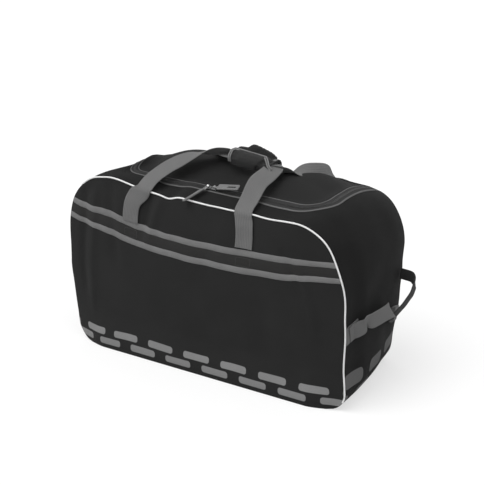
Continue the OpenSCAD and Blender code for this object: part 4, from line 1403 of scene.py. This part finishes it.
def grab_strap(side_name, sign):
    node = side_name + "_grab_handle"
    low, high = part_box(node)
    reach_x = max(abs(low.x), abs(high.x)) - strap_thick / 2
    grab_z = (low.z + high.z) / 2
    rear_end = 0.062 if sign > 0 else high.y
    y = np.linspace(low.y - 0.018, rear_end + 0.010, 69)
    t = np.clip(np.where(y > 0, y / rear_end, -y / low.y), -1, 1)
    wall = half_length(y)
    out = reach_x - float(half_length(np.array(0.0)))
    x = wall + end_stand + (out - end_stand) * (1 - np.abs(t) ** np.where(t > 0, 1.5, 2.5))
    crease = hump((t + 0.72) / 0.07)
    middle = pack(sign * (x - 0.004 * crease), y, grab_z + tab_slope(y) + 0.003 * crease)
    middle = mix(middle, settle(middle), (np.abs(t) ** 4)[:, None])
    lean = 0.20 * crease - 0.08 * (1 - t * t) - 0.80 * hump((t - 0.45) / 0.35)
    side = pack(sign * lean, 0.0, 1.0)
    wide = grab_wide * (1 - 0.14 * crease - 0.25 * ease(t))
    made = webbing(side_name + "_grab_webbing", middle, side, wide, strap_thick)
    wear(made, grey_webbing, "grey_webbing", None, node)
    sign * (wall.max() + 0.002)
    sign * (wall.max() + 0.016)
    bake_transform(made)


def sewn_tab(name, sign, end, start, stop, lift, material, slot, *nodes):
    """A tab of webbing on an end of the bag, from start to stop on the front (-1) or rear (1) half."""
    low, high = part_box("right_sewn_tabs")
    grab_z = (low.z + high.z) / 2
    y = np.linspace(start, stop, 18)[::end] * end
    z = np.linspace(grab_z - grab_wide / 2, grab_z + grab_wide / 2, 12)
    gy, gz = np.meshgrid(y, z)
    gz = gz + tab_slope(gy)
    rest = settle(pack(sign * reach(gz, gy, sign), gy, gz))[:, ::sign]
    face, back = rest + [sign * lift, 0, 0], rest + [sign * (lift - tab_thick), 0, 0]
    made = sheet_mesh(name, face, back, pack(gz - grab_z, gy)[:, ::sign])
    wear(made, material, slot, "root", *nodes)


for side_name, sign, rear_start in (("right", 1, 0.084), ("left", -1, 0.098)):
    grab_strap(side_name, sign)
    for end_name, end, start in (("front", -1, 0.098), ("rear", 1, rear_start)):
        nodes = [side_name + "_sewn_tabs"] if end_name == "front" else []
        sewn_tab(f"{side_name}_{end_name}_tab_webbing", sign, end, start, seam_y - 0.0005, tab_high,
                 grey_webbing, "grey_webbing", *nodes)
sewn_tab("right_loop_patch", 1, 1, 0.057, 0.089, 0.0086, black_webbing, "black_webbing")
print(f"grab straps {1000 * grab_wide:.0f} mm wide")


# %% Black loop on the right end
loop_high, loop_drop, loop_run = 0.238, 0.088, 0.103


def end_loop():
    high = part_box("right_end_loop")[1]
    # Shares of the loop's drop and of the way out from the bag.
    shares = np.array([(0, 0), (0.015, 0.66), (0.13, 0.95), (0.33, 1),
                       (0.55, 0.85), (0.70, 0.66), (0.79, 0.54)])
    way = np.linspace(0, len(shares) - 1, 300)
    line = pack(*(np.interp(way, np.arange(len(shares)), share) for share in shares.T))
    down, out = evened(line, 25).T
    y = seam_y - 0.020 - loop_run * down
    wall = half_length(y) + 0.0014
    x = wall + (high.x - 0.0011 - wall) * out
    middle = spaced(pack(x, y, loop_high - loop_drop * down), 0.004)
    part = ease((np.linspace(0, 1, len(middle)) - 0.26) / 0.24)[:, None]
    side = mix(np.array([[0.0, 0.1, 1.0]]), np.array([[0.10, -0.82, 0.50]]), part)
    return webbing("right_end_loop_webbing", middle, side, 0.026, 0.0022)


wear(end_loop(), black_webbing, "black_webbing", "root", "right_end_loop")

# %% [markdown]
# ## Studio
#
# The bag stands on a plain pale floor under a wide, soft sky. One broad lamp shines from the front left and a
# weak one from the right, so the front panel is lighter than the right end; the gusset's colour is also
# painted darker, as painted shade. The light is at a plain level: a colour renders about as written. The floor
# looks near white to the camera but sends less light back up, so that the foot of the bag stays dark.

# %% Floor, light and camera
bpy.ops.mesh.primitive_plane_add(size=60)
floor = bpy.context.object
floor.name = "floor"
floor.location.z = -0.0006
floor_finish = Finish("pale floor", Roughness=0.9)
floor_seen = floor_finish.node("ShaderNodeLightPath", {}, {})("Is Camera Ray")
floor_clouds = floor_finish.clouds(floor_finish.object_place(), 2.0)
floor_tone = floor_finish.blend(floor_clouds, grey(0.93), grey(0.95))
floor_finish.set("Base Color", floor_finish.blend(floor_seen, grey(0.45), floor_tone))
floor_white = floor_finish.node("ShaderNodeEmission", {}, {"Color": grey(1.0), "Strength": 1.0})()
floor_solid = Wire(floor_finish.tree, floor_finish.shader.outputs[0])
floor_mix = {0: floor_seen * 0.6, 1: floor_solid, 2: floor_white}
floor_both = floor_finish.node("ShaderNodeMixShader", {}, floor_mix)()
connect(floor_finish.tree, floor_finish.tree.nodes["Material Output"].inputs["Surface"], floor_both)
floor.data.materials.append(floor_finish.material)

world = bpy.data.worlds.new("soft studio")
bpy.context.scene.world = world
world.use_nodes = True
world.node_tree.nodes["Background"].inputs["Color"].default_value = (1, 1, 1, 1)
world.node_tree.nodes["Background"].inputs["Strength"].default_value = 0.62


def aimed(made, direction):
    """Turns a lamp or a camera to a direction and puts it in the scene."""
    made.rotation_euler = Vector(direction).to_track_quat("-Z", "Y").to_euler()
    bpy.context.scene.collection.objects.link(made)
    return made


def broad_light(name, energy, spread, direction):
    light = bpy.data.lights.new(name, "SUN")
    light.energy, light.angle = energy, math.radians(spread)
    return aimed(bpy.data.objects.new(name, light), direction)


lamp_object = broad_light("broad lamp", 1.95, 50, (0.33, 0.60, -1.06))
fill_object = broad_light("side fill", 0.5, 70, (-0.70, 0.38, -0.78))

camera = bpy.data.cameras.new("camera")
view_turn, view_rise, view_far = math.radians(34), math.radians(21), 3.2
look_at = Vector((0.007, 0, 0.2))
back = Vector((math.sin(view_turn) * math.cos(view_rise), -math.cos(view_turn) * math.cos(view_rise),
               math.sin(view_rise)))
camera_object = aimed(bpy.data.objects.new("camera", camera), -back)
camera_object.location = look_at + back * view_far
bpy.context.scene.camera = camera_object
camera.sensor_width, camera.lens = 36.0, 100.8
camera.shift_x, camera.shift_y = 0.0072, 0.063
bpy.context.scene.view_settings.view_transform = "Standard"
